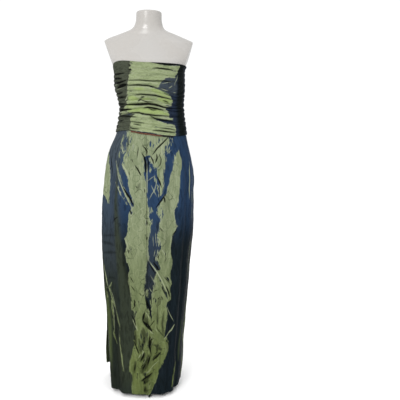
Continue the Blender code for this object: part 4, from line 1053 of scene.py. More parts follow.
def fill(tree, node, **sockets):
    """Set or link a node's inputs: by name, or by number as i0, i1 and so on."""
    for name, value in sockets.items():
        place = int(name[1:]) if name[0] == "i" and name[1:].isdigit() else name.replace("_", " ")
        if isinstance(value, bpy.types.NodeSocket):
            tree.links.new(value, node.inputs[place])
        else:
            node.inputs[place].default_value = value


def add_node(tree, kind, settings=None, **sockets):
    """Add a node, set its properties, and fill its inputs."""
    node = tree.nodes.new(kind)
    for name, value in (settings or {}).items():
        setattr(node, name, value)
    fill(tree, node, **sockets)
    return node


def per_metre(millimetres):
    """How many of a size fit in a metre, which is the scale of a pattern."""
    return 1000.0 / millimetres


def new_material(name):
    """An empty node material and its Principled shader."""
    material = bpy.data.materials.new(name)
    material.use_nodes = True
    tree = material.node_tree
    return material, tree, tree.nodes["Principled BSDF"]


def lay_over(tree, under, over, mask, low, high, thin=0.0, thick=1.0):
    """Lay a colour over another: the mask's range low to high is eased to thin to thick."""
    share = add_node(tree, "ShaderNodeMapRange", EASED, Value=mask, From_Min=low, From_Max=high,
                     To_Min=thin, To_Max=thick).outputs[0]
    return add_node(tree, "ShaderNodeMix", COLOURS, i0=share, i6=under, i7=over).outputs[2]


def taffeta_patterns(tree, cloth, kind):
    """The crisp cloth's patterns, on its own plane.

    Cells as large as a facet give each facet its chances, noise drawn out
    along the facets gives streaks and frayed strands, and the borders of long
    cells that lie across them give short creases.
    """
    # The crumples bend the facets' sides.
    crumples = add_node(tree, "ShaderNodeTexNoise", FLAT_NOISE, Vector=cloth,
                        Scale=per_metre(CRUMPLE_MM), Detail=3.0, Roughness=0.6)
    bend = add_node(tree, "ShaderNodeVectorMath", TIMES_PLUS, i0=crumples.outputs["Color"],
                    i1=(CRUMPLE_BEND, CRUMPLE_BEND, 0.0), i2=cloth).outputs[0]
    places = {}
    for use, across, along, turn in (("facets", 1.0, 1.0, 0), ("streaks", 4.5, 0.9, 0),
                                     ("strands", 3.0, 2.2, 0), ("creases", 0.55, 1.9, 24)):
        places[use] = add_node(tree, "ShaderNodeMapping", Vector=bend,
                               Rotation=(0.0, 0.0, math.radians(kind.slant + turn)),
                               Scale=(across * per_metre(kind.across),
                                      along * per_metre(kind.along), 1.0)).outputs[0]
    patterns = {}
    for use, place, scale in (("facet", "facets", 1.0), ("small", "facets", 2.3),
                              ("crease", "creases", 1.0)):
        cells = add_node(tree, "ShaderNodeTexVoronoi", FLAT_CELLS, Vector=places[place],
                         Scale=scale)
        patterns[use + "_relief"] = cells.outputs["Distance"]
        patterns[use] = add_node(tree, "ShaderNodeSeparateColor",
                                 Color=cells.outputs["Color"]).outputs
    for use, detail in (("streaks", 3.0), ("strands", 2.0)):
        patterns[use] = add_node(tree, "ShaderNodeTexNoise", FLAT_NOISE, Vector=places[use],
                                 Scale=1.0, Detail=detail, Roughness=0.6).outputs[0]
    off = add_node(tree, "ShaderNodeTexVoronoi", FLAT_CELL_EDGES, Vector=places["creases"],
                   Scale=1.0).outputs["Distance"]
    patterns["near_crease"] = add_node(tree, "ShaderNodeMapRange", EASED, Value=off,
                                       From_Min=0.01, From_Max=0.09, To_Min=1.0,
                                       To_Max=0.0).outputs[0]
    return patterns


def shot_taffeta(name, colours, kind):
    """Woven shot silk taffeta: green warp over navy weft.

    Each side of a crease shows one of the two threads, so crisp patches of
    green and navy meet at the creases; where each shows is laid out from the
    light, so the green face is partly painted sheen. The crisp cloth breaks into
    small flat facets, with painted shade and painted highlight on them, and has
    a low sheen; its masks add painted shade, painted shadow and painted light.
    """
    material, tree, shader = new_material(name)
    cloth = add_node(tree, "ShaderNodeUVMap", {"uv_map": "cloth"}).outputs["UV"]
    patterns = taffeta_patterns(tree, cloth, kind)
    facet, small, streaks = patterns["facet"], patterns["small"], patterns["streaks"]
    masks = {mask: add_node(tree, "ShaderNodeAttribute", {"attribute_name": mask}).outputs["Fac"]
             for mask in MASKS}

    # The border of the two faces is pushed about by the facets and the streaks,
    # and frays into fine strands where its mask is high.
    strands = add_node(tree, "ShaderNodeMath", LESS, i0=patterns["strands"], i1=0.5).outputs[0]
    tone = masks["tone"]
    for push, strength in ((facet[0], kind.reach), (small[0], 0.6 * kind.reach),
                           (streaks, 1.4 * kind.reach), (strands, masks["fray"])):
        tone = add_node(tree, "ShaderNodeMath", TIMES_PLUS, i0=push, i1=strength,
                        i2=tone).outputs[0]
    middle = 1.5 * kind.reach

    # The green face and its sheen are painted yellower and darker towards the hem, as painted
    # shade.
    tints = {tint: add_node(tree, "ShaderNodeMix", COLOURS, i0=masks["fade"], i6=colours[high],
                            i7=colours[low]).outputs[2]
             for tint, high, low in (("green", "green_high", "green_low"),
                                     ("ridge", "ridge", "ridge_low"),
                                     ("moss", "moss", "moss_low"))}
    tints["groove"] = colours["groove"]

    # The navy face, painted darker towards the hem as painted shade, with a paler grey bloom of
    # painted light in places and on the streaks, olive where both threads show, and some facets in
    # painted shade.
    navy = lay_over(tree, colours["navy_high"], colours["navy_low"], masks["fade"], 0.03, 0.36)
    for mask in ("grey", "olive"):
        navy = add_node(tree, "ShaderNodeMix", COLOURS, i0=masks[mask], i6=navy,
                        i7=colours[mask]).outputs[2]
    navy = lay_over(tree, navy, colours["grey"], streaks, 0.45, 0.75, 0.0, 0.11)
    navy = lay_over(tree, navy, colours["groove"], small[1], 0.0, 0.45, 0.40, 0.0)

    # Painted shade on facets and streaks turned from the light, and painted highlight on those that
    # catch it.
    green = tints["green"]
    for pattern, low, high, thin, thick, tint in (
            (facet[1], 0.0, 0.40, 0.35, 0.0, "moss"),
            (small[1], 0.0, 0.30, 0.21, 0.0, "moss"),
            (small[2], 0.70, 1.0, 0.0, 0.315, "ridge"),
            (facet[1], 0.66, 1.0, 0.0, 0.35, "ridge"),
            (streaks, 0.32, 0.50, 0.28, 0.0, "moss"),
            (streaks, 0.54, 0.70, 0.0, 0.30, "ridge")):
        green = lay_over(tree, green, tints[tint], pattern, low, high, thin, thick)
    # Short sharp creases where crumpled facets meet, painted shade on some and painted highlight on
    # others.
    for channel, low, high, thick, tint in ((0, 0.60, 0.80, 0.55, "ridge"),
                                            (1, 0.62, 0.80, 0.70, "moss"),
                                            (2, 0.80, 0.90, 0.60, "groove")):
        chosen = add_node(tree, "ShaderNodeMapRange", EASED, Value=patterns["crease"][channel],
                          From_Min=low, From_Max=high, To_Min=0.0, To_Max=thick).outputs[0]
        share = add_node(tree, "ShaderNodeMath", TIMES, i0=patterns["near_crease"],
                         i1=chosen).outputs[0]
        green = add_node(tree, "ShaderNodeMix", COLOURS, i0=share, i6=green,
                         i7=tints[tint]).outputs[2]
    colour = lay_over(tree, navy, green, tone, middle - kind.edge, middle + kind.edge)

    # A thin pale rim where the cloth turns over between its two faces, a painted highlight.
    shares = [add_node(tree, "ShaderNodeMapRange", EASED, Value=value, From_Min=low,
                       From_Max=high, To_Min=0.0, To_Max=thick).outputs[0]
              for value, low, high, thick in ((tone, middle - 3.2, middle - 0.6, 1.0),
                                              (tone, middle + 0.6, middle + 2.6, 1.0),
                                              (small[2], 0.35, 0.8, 0.65))]
    rim = add_node(tree, "ShaderNodeMath", LESS, i0=shares[0], i1=shares[1]).outputs[0]
    rim = add_node(tree, "ShaderNodeMath", TIMES, i0=rim, i1=shares[2]).outputs[0]
    crest = add_node(tree, "ShaderNodeMix", COLOURS, i0=0.5, i6=colours["ridge"],
                     i7=tints["ridge"]).outputs[2]
    # The rim and the brightest green are painted highlights.
    for share, over in ((rim, tints["ridge"]), (masks["accent"], colours["accent"])):
        colour = add_node(tree, "ShaderNodeMix", COLOURS, i0=share, i6=colour,
                          i7=over).outputs[2]
    # Painted highlight on the crests, painted shadow, and painted shade down the creases.
    for mask, low, high, thick, over in (("ridge", -0.5, 1.0, 0.8, crest),
                                         ("shadow", 0.0, 1.0, 0.8, colours["groove"]),
                                         ("groove", -0.5, 1.0, 0.95, colours["groove"])):
        colour = lay_over(tree, colour, over, masks[mask], low, high, 0.0, thick)

    # Cross ribs are 0.35 mm apart in such a taffeta, too fine to show; they are
    # drawn 8.7 mm apart. A wave of scale 1 has a band every tau / 20.
    ribs = add_node(tree, "ShaderNodeTexWave", {"wave_type": "BANDS", "bands_direction": "Y"},
                    Vector=cloth, Scale=math.tau / 20 * per_metre(RIB_MM), Distortion=1.2,
                    Detail=2.0, Detail_Scale=1.5).outputs["Fac"]
    roughness = add_node(tree, "ShaderNodeMapRange", EASED, Value=streaks, From_Min=0.2,
                         From_Max=0.8, To_Min=0.34, To_Max=0.50).outputs[0]
    normal = {}
    for height, strength, distance in ((ribs, 0.10, 0.0002),
                                       (patterns["facet_relief"], 0.45, 0.0016),
                                       (streaks, 0.5, 0.0016)):
        bump = add_node(tree, "ShaderNodeBump", Strength=strength, Distance=distance,
                        Height=height, **normal)
        normal = {"Normal": bump.outputs[0]}
    fill(tree, shader, Base_Color=colour, Roughness=roughness, IOR=1.35,
         Specular_IOR_Level=0.012, **normal)
    return material


def edging_cloth(colours):
    """Matt red-brown edge of the backing, turned under the bodice."""
    material, tree, shader = new_material("turned_backing_edge")
    place = add_node(tree, "ShaderNodeTexCoord").outputs["Object"]
    slubs = add_node(tree, "ShaderNodeTexNoise", Vector=place, Scale=per_metre(SLUB_MM),
                     Detail=2.0).outputs[0]
    colour = lay_over(tree, colours["edging_dark"], colours["edging"], slubs, 0.35, 0.65)
    # Painted shade: the edge is painted towards the groove colour where it turns away.
    fade = add_node(tree, "ShaderNodeAttribute", {"attribute_name": "fade"}).outputs["Fac"]
    colour = add_node(tree, "ShaderNodeMix", COLOURS, i0=fade, i6=colour,
                      i7=colours["groove"]).outputs[2]
    bump = add_node(tree, "ShaderNodeBump", Strength=0.3, Distance=0.0003, Height=slubs)
    fill(tree, shader, Base_Color=colour, Roughness=0.7, Specular_IOR_Level=0.2,
         Normal=bump.outputs[0])
    return material


def moulded_gloss(colours):
    """Moulded off-white plastic of the dress form: smooth, with a soft gloss."""
    material, tree, shader = new_material("moulded_gloss_plastic")
    place = add_node(tree, "ShaderNodeTexCoord").outputs["Object"]
    clouds = add_node(tree, "ShaderNodeTexNoise", Vector=place, Scale=per_metre(CLOUD_MM),
                      Detail=3.0).outputs[0]
    peel = add_node(tree, "ShaderNodeTexNoise", Vector=place, Scale=per_metre(MOULDING_PEEL_MM),
                    Detail=1.0).outputs[0]
    roughness = add_node(tree, "ShaderNodeMapRange", EASED, Value=clouds, From_Min=0.3,
                         From_Max=0.7, To_Min=0.24, To_Max=0.32).outputs[0]
    colour = lay_over(tree, colours["form_warm"], colours["form"], clouds, 0.3, 0.7)
    bump = add_node(tree, "ShaderNodeBump", Strength=0.06, Distance=0.0004, Height=peel)
    fill(tree, shader, Base_Color=colour, Roughness=roughness, IOR=1.45, Specular_IOR_Level=0.4,
         Normal=bump.outputs[0])
    return material


def enamelled_steel(colours):
    """Stove-enamelled steel of the stand: off-white with a faint orange peel."""
    material, tree, shader = new_material("stove_enamelled_steel")
    place = add_node(tree, "ShaderNodeTexCoord").outputs["Object"]
    peel = add_node(tree, "ShaderNodeTexNoise", Vector=place, Scale=per_metre(ENAMEL_PEEL_MM),
                    Detail=2.0).outputs[0]
    colour = lay_over(tree, colours["form_warm"], colours["form"], peel, 0.3, 0.7)
    bump = add_node(tree, "ShaderNodeBump", Strength=0.1, Distance=0.0003, Height=peel)
    fill(tree, shader, Base_Color=colour, Roughness=0.35, Normal=bump.outputs[0])
    return material


def studio_floor(colours):
    """Pale matt studio floor."""
    material, tree, shader = new_material("pale_studio_floor")
    fill(tree, shader, Base_Color=colours["floor"], Roughness=0.9, Specular_IOR_Level=0.1)
    return material


# ----------------------------------------------------------- the skirt ----

def fold_relief(angle, height):
    """Sum of the soft folds: cos^2 across each, faded at its two ends."""
    relief = np.zeros(np.broadcast(angle, height).shape)
    down = np.clip((SKIRT_FREE - height) / SKIRT_FREE, 0.0, 1.0)
    for fold in SKIRT_FOLDS:
        line = fold.angle_top + (fold.angle_hem - fold.angle_top) * down
        across = np.clip((angle - line) / fold.half_width, -1.0, 1.0)
        shape = np.cos(across * math.pi / 2) ** 2
        start = smooth_step(fold.top, fold.top - FOLD_FADE, height)
        stop = smooth_step(fold.bottom, fold.bottom + FOLD_FADE, height)
        relief += fold.height * shape * start * stop
    return relief


def slit_opening(height):
    """0 at the slit's top, 1 at the hem."""
    return np.clip((SLIT_TOP - height) / SLIT_TOP, 0.0, 1.0) ** SLIT_CURVE


def slit_edge_angle(height):
    """Angle of the back panel's edge on the slit side."""
    return 360.0 + SKIRT_SEAM_RIGHT - SLIT_EDGE_TURN * slit_opening(height)


def slit_kick(angle, height):
    """Outward swing of the back panel towards its slit edge, square of nearness."""
    near = np.clip(1 - (slit_edge_angle(height) - angle) / SLIT_KICK_WIDTH, 0.0, 1.0)
    return SLIT_KICK * slit_opening(height) * near ** 2


def corner_drop(angle):
    """Drop of the hem at the corner by the front seam."""
    reach = angle / HEM_CORNER_ANGLE
    return HEM_CORNER_DROP * np.clip((1 - reach) / (1 - HEM_CORNER_FLAT), 0.0, 1.0)


def skirt_surface(angle, height):
    """The middle of the skirt's wall: on the form at the waist, free below."""
    on_form, form_normals = section_surface(FORM_SECTIONS, angle, np.maximum(height, TORSO_BOTTOM))
    on_form = on_form + form_normals * (FORM_EASE + SKIRT_WALL / 2)
    free, normals = section_surface(SKIRT_SECTIONS, angle, height)
    free = free + normals * fold_relief(angle, height)[..., None]
    worn = smooth_step(SKIRT_FREE - SKIRT_BLEND, SKIRT_FREE, height)[..., None]
    return on_form * worn + free * (1 - worn), normals


def skirt_fields(angle, height):
    """The skirt's masks, one value a point, and its fine relief.

    tone, groove and ridge are distances in millimetres into the green face,
    a dark crease painted as shade and a pale one painted as highlight; fray is
    how far in millimetres the border of the green face frays; the masks of
    painted shade towards the hem, of grey painted light, olive, painted
    highlight and painted shadow run from 0 to 1.
    """
    seen_angle, seen_height = behind(angle, height)
    # A ragged edge: the place looked up is moved about by up to 3 mm.
    x = angle * SKIRT_MM
    y = height * 1000
    warp = layered(x, y, SKIRT_RAGGED_ACROSS) / SKIRT_MM
    at_angle = seen_angle + warp
    at_height = seen_height + layered(x, y, SKIRT_RAGGED_ALONG) / 1000
    # The hip's patch runs on over the side seam.
    hip_angle = np.where(angle > 180, angle - 360.0 + warp, at_angle)
    tone = np.maximum.reduce([
        outline_distance(FRONT_GREEN, at_angle, at_height, SKIRT_MM),
        patch_distance(HIP_GREEN, hip_angle, at_height, SKIRT_MM),
        line_distance(SKIRT_GREEN_FLECKS, at_angle, seen_height, SKIRT_MM)])
    tone = np.minimum(tone, -line_distance(SKIRT_NAVY_FLECKS, at_angle, seen_height, SKIRT_MM))
    frayed = (np.maximum(window(seen_angle, *FRAYED_RIGHT), window(seen_angle, *FRAYED_LEFT))
              * smooth_step(0.92, 0.965, seen_height))
    inner_border = window(seen_angle, *INNER_BORDER) * smooth_step(0.36, 0.44, seen_height)
    tone = tone + (0.9 + 1.5 * frayed) * random_field(x / 3.4 + y / 60, y / 15, 10)
    groove, ridge = (line_distance(lines, seen_angle + warp * 0.3, seen_height, SKIRT_MM)
                     for lines in (SKIRT_GROOVES, SKIRT_RIDGES))
    on_right = smooth_step(-22, -42, seen_angle)
    # The navy strip between the two green areas stays blue down to the knee: it gets less painted
    # shade and, low down, a grey bloom of painted light.
    strip = (window(seen_angle, *NAVY_STRIP) * smooth_step(0.38, 0.46, seen_height)
             * smooth_step(4.0, -2.0, tone))
    # Painted shade: the cloth is painted darker towards the hem.
    fade = smooth_step(0.95, 0.05, height) * (1.0 - 0.40 * strip)
    # Painted light: a paler grey bloom on the wearer's right side, more of it higher up.
    grey = np.maximum(on_right * (0.45 * smooth_step(0.40, 0.58, height)
                                  + 0.40 * smooth_step(0.72, 1.0, height)),
                      0.24 * strip * smooth_step(0.74, 0.64, seen_height))
    column, side = (patch_distance(rows, at_angle, at_height, SKIRT_MM, 0.08)
                    for rows in (OLIVE_COLUMN, OLIVE_SIDE))
    olive = np.maximum(0.85 * smooth_step(-9.0, 8.0, np.maximum(column, side)),
                       0.55 * on_right * smooth_step(0.62, 0.36, height))
    # Painted shade: the wearer's right side low down and the olive side patch are darkened through
    # the shadow mask.
    low_side = np.maximum(smooth_step(-8.0, 10.0, side),
                          0.75 * on_right * smooth_step(0.46, 0.26, seen_height))
    # Painted light: bands low on the sides brighten the cloth and lift its painted shade.
    bands = (smooth_step(-11.0, 4.0, line_distance(SKIRT_BANDS, at_angle, at_height, SKIRT_MM))
             * window(seen_height, *BAND_HEIGHTS))
    # The back panel's free edge beside the slit catches the light: painted light brightens it and
    # lifts the painted shade there.
    flap = (smooth_step(42.0, 10.0, (slit_edge_angle(height) - angle) * SKIRT_MM)
            * (angle > SKIRT_SEAM_LEFT + 90)
            * smooth_step(SLIT_TOP + 0.08, SLIT_TOP - 0.04, height))
    low_side = low_side * (1.0 - 0.8 * bands) * (1.0 - flap)
    # Soft patches of painted shade where the folds turn from the light.
    shades = (smooth_step(-7.0, 3.5, line_distance(SKIRT_SHADES, seen_angle, seen_height, SKIRT_MM))
              * (0.55 + 0.25 * smooth_step(0.36, 0.30, seen_height)))
    masks = {"tone": tone, "groove": groove, "ridge": ridge, "fade": fade, "grey": grey,
             "olive": olive, "accent": 0.13 * np.maximum(bands, flap),
             "fray": 4.0 + 34.0 * frayed + 7.0 * inner_border,
             "shadow": np.maximum(shades, 0.6 * low_side)}
    relief = (layered(x, y, SKIRT_CRUMPLES) + SKIRT_FACE_STEP * np.tanh(tone / 5.0)
              + groove_relief(groove, -SKIRT_GROOVE_DEPTH)
              + groove_relief(ridge, SKIRT_RIDGE_RISE))
    return masks, relief


def skirt_panel(name, edges, columns, rows, hem_drop, kick):
    """A panel's mesh: angle runs between two edges, height from hem to waist."""
    across = np.linspace(0.0, 1.0, columns + 1)[None, :]
    up = np.linspace(0.0, 1.0, rows + 1)[:, None]
    first = edges[0](SKIRT_TOP * up) + HALF_GAP_ANGLE
    last = edges[1](SKIRT_TOP * up) - HALF_GAP_ANGLE
    angle = first + (last - first) * across
    hem = smooth_curve([row.angle for row in SKIRT_HEM], [row.height for row in SKIRT_HEM], angle)
    hem = hem - hem_drop(angle)
    height = hem + (SKIRT_TOP - hem) * up
    points, normals = skirt_surface(angle, height)
    masks, relief = skirt_fields(angle, height)
    edge = np.minimum(angle - first, last - angle) * SKIRT_MM
    seam = -SEAM_DIP * np.exp(-(edge / SEAM_HALF_WIDTH) ** 2)
    above_turning = height - hem - HEM_TURNING
    turned_hem = HEM_TURNING_RISE * np.exp(-(above_turning / HEM_TURNING_EASE) ** 2)
    calm = smooth_step(CRUMPLE_NONE, CRUMPLE_FULL, height)
    relief = (relief + seam + turned_hem) * calm + kick(angle, height)
    points = points + normals * relief[..., None]
    cloth = np.stack([angle * SKIRT_MM / 1000, height], axis=-1)
    return mesh_of(name, points, grid_quads(*angle.shape), masks, cloth)


# ---------------------------------------------------------- the bodice ----

def crease_value(values, angle):
    """A value listed at the stations, read at any angle round the bodice."""
    wrapped = (np.asarray(angle) + 90.0) % 360.0 - 90.0
    return smooth_curve(CREASE_STATIONS, values, wrapped)


def bodice_seam(name, height):
    """Angle of one of the bodice's seams at any height."""
    return smooth_curve([row.height for row in BODICE_SEAMS],
                        [getattr(row, name) for row in BODICE_SEAMS], height)


def bodice_inside(height):
    """Distance from the form to the bodice: the skirt's top lies between."""
    over_skirt = 2 * LAYER_EASE + SKIRT_WALL + FORM_EASE
    return FORM_EASE + (over_skirt - FORM_EASE) * smooth_step(LAYER_START, LAYER_FULL, height)


def bodice_panel(name, first_seam, last_seam, last_turn, columns, fullness):
    """A ruched panel's mesh.

    Its rows run along the creases; between two creases the cloth puffs out
    by sin(pi share^lean)^round, and small gathers cross each puff at the seams.
    """
    count = len(BODICE_CREASES) - 1
    place = np.linspace(count, 0, count * GATHER_ROWS + 1)
    upper = np.minimum(np.floor(place).astype(int), count - 1)
    share = (place - upper)[:, None]
    middles = np.array([crease_value(crease.heights, 0.0) for crease in BODICE_CREASES])
    middle = middles[upper][:, None] * (1 - share) + middles[upper + 1][:, None] * share
    first = bodice_seam(first_seam, middle) + HALF_GAP_ANGLE
    last = bodice_seam(last_seam, middle) + last_turn - HALF_GAP_ANGLE
    angle = first + (last - first) * np.linspace(0.0, 1.0, columns + 1)[None, :]

    def at_crease(column, step):
        """A column of the creases' table: each row's crease, or the next one down."""
        return np.array([crease_value(getattr(BODICE_CREASES[number + step], column), row)
                         for number, row in zip(upper, angle)])

    heights, below = at_crease("heights", 0), at_crease("heights", 1)
    darks, next_darks = at_crease("dark", 0), at_crease("dark", 1)
    height = heights * (1 - share) + below * share
    points, normals = section_surface(FORM_SECTIONS, angle, height)
    masks, fine = bodice_fields(angle, height)
    # Distances in millimetres from the crease above and the crease below.
    from_above = share * (heights - below) * 1000
    from_below = (1 - share) * (heights - below) * 1000
    wander = 1.0 + 0.7 * random_field(angle * BODICE_MM / 18, upper[:, None] * 5.7, 23)
    # Painted shade: each crease is painted dark, and painted shadow lies beside it.
    masks["groove"] = np.maximum.reduce([masks["groove"],
                                         DARK_WIDTH * darks * wander - DARK_INSET - from_above,
                                         DARK_WIDTH * next_darks * wander - DARK_INSET
                                         - 1.5 * from_below])
    masks["shadow"] = np.maximum.reduce([masks["shadow"],
                                         0.5 * darks * np.exp(-(from_above / 4.0) ** 2),
                                         0.7 * next_darks * np.exp(-(from_below / 4.5) ** 2)])
    x = angle * BODICE_MM
    edge = np.minimum(angle - first, last - angle) * BODICE_MM
    profile = np.sin(np.pi * share ** PUFF_LEAN) ** PUFF_ROUND
    swell = 1.0 + PUFF_SWELL * random_field(x / SWELL_LENGTH, upper[:, None] * 7.3 + 0 * x, 21)
    gathers = GATHER_RISE * random_field(x / GATHER_LENGTH,
                                         upper[:, None] * 3.1 + share * 1.5, 22)
    gathers = gathers * (0.35 + 0.65 * np.exp(-(edge / GATHER_REACH) ** 2))
    puffs = np.array([crease.puff for crease in BODICE_CREASES])[upper][:, None]
    puffs = puffs * (1.0 - FLAT_SIDE * window((angle + 90.0) % 360.0 - 90.0, *LEFT_SIDE))
    seam = -BODICE_SEAM_DIP * np.exp(-(edge / BODICE_SEAM_HALF_WIDTH) ** 2)
    relief = np.maximum(profile * (puffs * fullness * swell + gathers + fine + seam), 0.0)
    lift = bodice_inside(height) + BODICE_WALL / 2 + relief
    points = points + normals * lift[..., None]
    cloth = np.stack([x / 1000, height], axis=-1)
    return mesh_of(name, points, grid_quads(*angle.shape), masks, cloth)


def bodice_fields(angle, height):
    """The bodice's masks, as on the skirt, and its fine relief."""
    wrapped = np.where(angle > BODICE_BACK_END, angle - 360.0, angle)
    turned = np.where(wrapped > BODICE_BACK_START, BODICE_MIRROR - wrapped, wrapped)
    x = angle * BODICE_MM
    y = height * 1000
    at_angle = turned + layered(x, y, BODICE_RAGGED_ACROSS) / BODICE_MM
    warp = layered(x, y, BODICE_RAGGED_ALONG) / 1000
    flecks, accent = (line_distance(lines, at_angle, height + warp, BODICE_MM)
                      for lines in (BODICE_NAVY_FLECKS, BODICE_ACCENTS))
    groove, ridge = (line_distance(lines, turned, height + warp * 0.4, BODICE_MM)
                     for lines in (BODICE_GROOVES, BODICE_RIDGES))
    tone = np.minimum(outline_distance(BODICE_GREEN, at_angle, height + warp, BODICE_MM), -flecks)
    # Painted shade: the wearer's left side is painted darker.
    fade = 0.36 * smooth_step(42, 60, turned) * (1.0 - 0.85 * smooth_step(68, 88, turned))
    # A tail of navy reaches into the olive side at the waist.
    navy_tail = smooth_step(6.0, 0.0, np.hypot((turned + 33.0) * BODICE_MM / 4.0, y - 1111.0))
    olive = smooth_step(-10, -24, turned) * (1.0 - 0.8 * navy_tail)
    # Painted light: a paler grey bloom low on the wearer's right side and on the bust.
    low_side = window(turned, *LOW_SIDE) * smooth_step(1.10, 1.06, height)
    bust = window(turned, *BUST_ACROSS) * window(height, *BUST_UP)
    # Painted shadow beside the dark creases, and painted shade over the top of the bodice.
    shadow = np.maximum(0.55 * smooth_step(-5.5, 0.5, groove),
                        0.20 * smooth_step(1.205, 1.265, height))
    # The accents are painted highlights on the puffs.
    masks = {"tone": tone, "groove": groove, "ridge": ridge, "fade": fade,
             "grey": np.maximum(0.55 * low_side, 0.65 * bust), "olive": olive,
             "accent": 0.5 * smooth_step(-6.5, 3.0, accent), "fray": 5.0 + 0 * tone,
             "shadow": shadow}
    relief = (layered(x, y, BODICE_CRUMPLES) + groove_relief(groove, -BODICE_GROOVE_DEPTH)
              + groove_relief(ridge, BODICE_RIDGE_RISE))
    return masks, relief


# --------------------------------------------------------- dress form ----

def torso_mesh(name):
    """Rings lofted from hip to neck, rounded at the neck's rim, closed flat."""
    columns = TORSO_COLUMNS
    heights = np.concatenate([np.linspace(*span) for span in TORSO_RINGS])
    angle, height = np.meshgrid(np.arange(columns) * 360.0 / columns, heights)
    rings, normals = section_surface(FORM_SECTIONS, angle, height)
    turns = np.radians(np.linspace(0, 90, RIM_STEPS + 1)[1:])[:, None, None]
    up = np.array([0.0, 0.0, 1.0])
    rim = rings[-1] - normals[-1] * NECK_RIM * (1 - np.cos(turns)) + up * NECK_RIM * np.sin(turns)
    rings = np.concatenate([rings, rim])
    quads = grid_quads(len(rings), columns, closed=True)
    mesh = mesh_of(name, rings, quads)
    shape = bmesh.new()
    shape.from_mesh(mesh)
    shape.verts.ensure_lookup_table()
    last = len(rings) - 1
    shape.faces.new([shape.verts[column] for column in range(columns)][::-1])
    shape.faces.new([shape.verts[last * columns + column] for column in range(columns)])
    shape.to_mesh(mesh)
    shape.free()
    return mesh


def arm_cutter(cut):
    """A box whose inner face is the plane of one arm cut."""
    mesh = bpy.data.meshes.new("arm_cutter")
    box = bmesh.new()
    bmesh.ops.create_cube(box, size=CUTTER_SIZE)
    bmesh.ops.translate(box, verts=box.verts, vec=(cut.side * CUTTER_SIZE / 2, 0.0, 0.0))
    box.to_mesh(mesh)
    box.free()
    cutter = bpy.data.objects.new("arm_cutter", mesh)
    bpy.context.scene.collection.objects.link(cutter)
    cutter.location = (AXIS_X + cut.side * cut.x, AXIS_Y, cut.height)
    cutter.rotation_euler = (0.0, cut.side * math.radians(cut.lean),
                             -cut.side * math.radians(cut.turn))
    return cutter


# ------------------------------------------------------------ settings ----

class GownSizes(PropertyGroup):
    """Sizes that a user may change."""
    skirt_wall: FloatProperty(name="Skirt cloth", description="Thickness of the skirt's cloth",
                              default=0.0013, min=0.0004, max=0.002, unit="LENGTH")
    bodice_wall: FloatProperty(name="Bodice cloth", description="Thickness of the ruched cloth",
                               default=0.0012, min=0.0004, max=0.002, unit="LENGTH")
    puff: FloatProperty(name="Fullness", description="How far the gathers stand out",
                        default=1.7, min=0.2, max=2.0, subtype="FACTOR")
    camera_lens: FloatProperty(name="Lens", description="Focal length of the camera, in mm",
                               default=54.0, min=20.0, max=200.0)


def dye(name, description, hex_code):
    """A colour setting with an sRGB default."""
    return FloatVectorProperty(name=name, description=description, subtype="COLOR", size=4,
                               default=linear_colour(hex_code))


class GownColours(PropertyGroup):
    """Colours of the cloth, the form and the floor; several of the cloth's are painted shade,
    painted light and painted highlight.
    """
    # Each low colour is its face in painted shade towards the hem.
    green_high: dye("Green, high", "Green face near the waist", "#6D755C")
    green_low: dye("Green, low", "Green face near the hem", "#4E5731")
    bodice_green: dye("Bodice green", "Green of the bodice", "#7B8563")
    bodice_navy: dye("Bodice navy", "Dark face of the bodice", "#1C2432")
    # Painted shade of the bodice's darkest side.
    bodice_painted_shade: dye("Bodice shade", "Its darkest side", "#0B1010")
    bodice_olive: dye("Bodice olive", "Its olive side", "#3C4035")
    navy_high: dye("Navy, high", "Navy face near the waist", "#203148")
    navy_low: dye("Navy, low", "Navy face near the hem", "#10171B")
    # Painted light: a paler bloom where the navy catches the light.
    grey: dye("Grey blue", "Paler bloom on the navy face", "#3A4146")
    olive: dye("Olive", "Where both threads show, in shade", "#2A2F24")
    # Painted highlights on the crests.
    ridge: dye("Ridge", "Pale sheen on a crest", "#848A72")
    ridge_low: dye("Ridge, low", "Sheen of a crest near the hem", "#636D46")
    # Painted shade of the green face.
    moss: dye("Moss", "Green face turned from the light", "#4B563D")
    moss_low: dye("Moss, low", "Turned green face near the hem", "#323B25")
    # Painted highlight.
    accent: dye("Accent", "Brightest yellow-green sheen", "#7A8C4A")
    # Painted shade down a crease.
    groove: dye("Groove", "Bottom of a crease", "#070907")
    edging: dye("Edging", "Red-brown edge", "#573422")
    edging_dark: dye("Edging, dark", "Its darker threads", "#3A2118")
    form: dye("Form", "Off-white of the dress form", "#999794")
    form_warm: dye("Form, warm", "Its warmer clouds", "#989591")
    floor: dye("Floor", "Pale studio floor", "#FAFAFA")


def colours_of(scene, **others):
    """The colours as a dictionary, some of them taken from other names."""
    group = scene.gown_colours
    found = {name: tuple(getattr(group, name)) for name in GownColours.__annotations__}
    found.update({name: found[other] for name, other in others.items()})
    return found


# ----------------------------------------------------------- operators ----

def straight(angle):
    """A seam that keeps one angle from hem to waist."""
    return lambda height: angle + 0.0 * height


def nothing(angle, height=0.0):
    """No drop of the hem and no swing of the cloth."""
    return 0.0 * angle


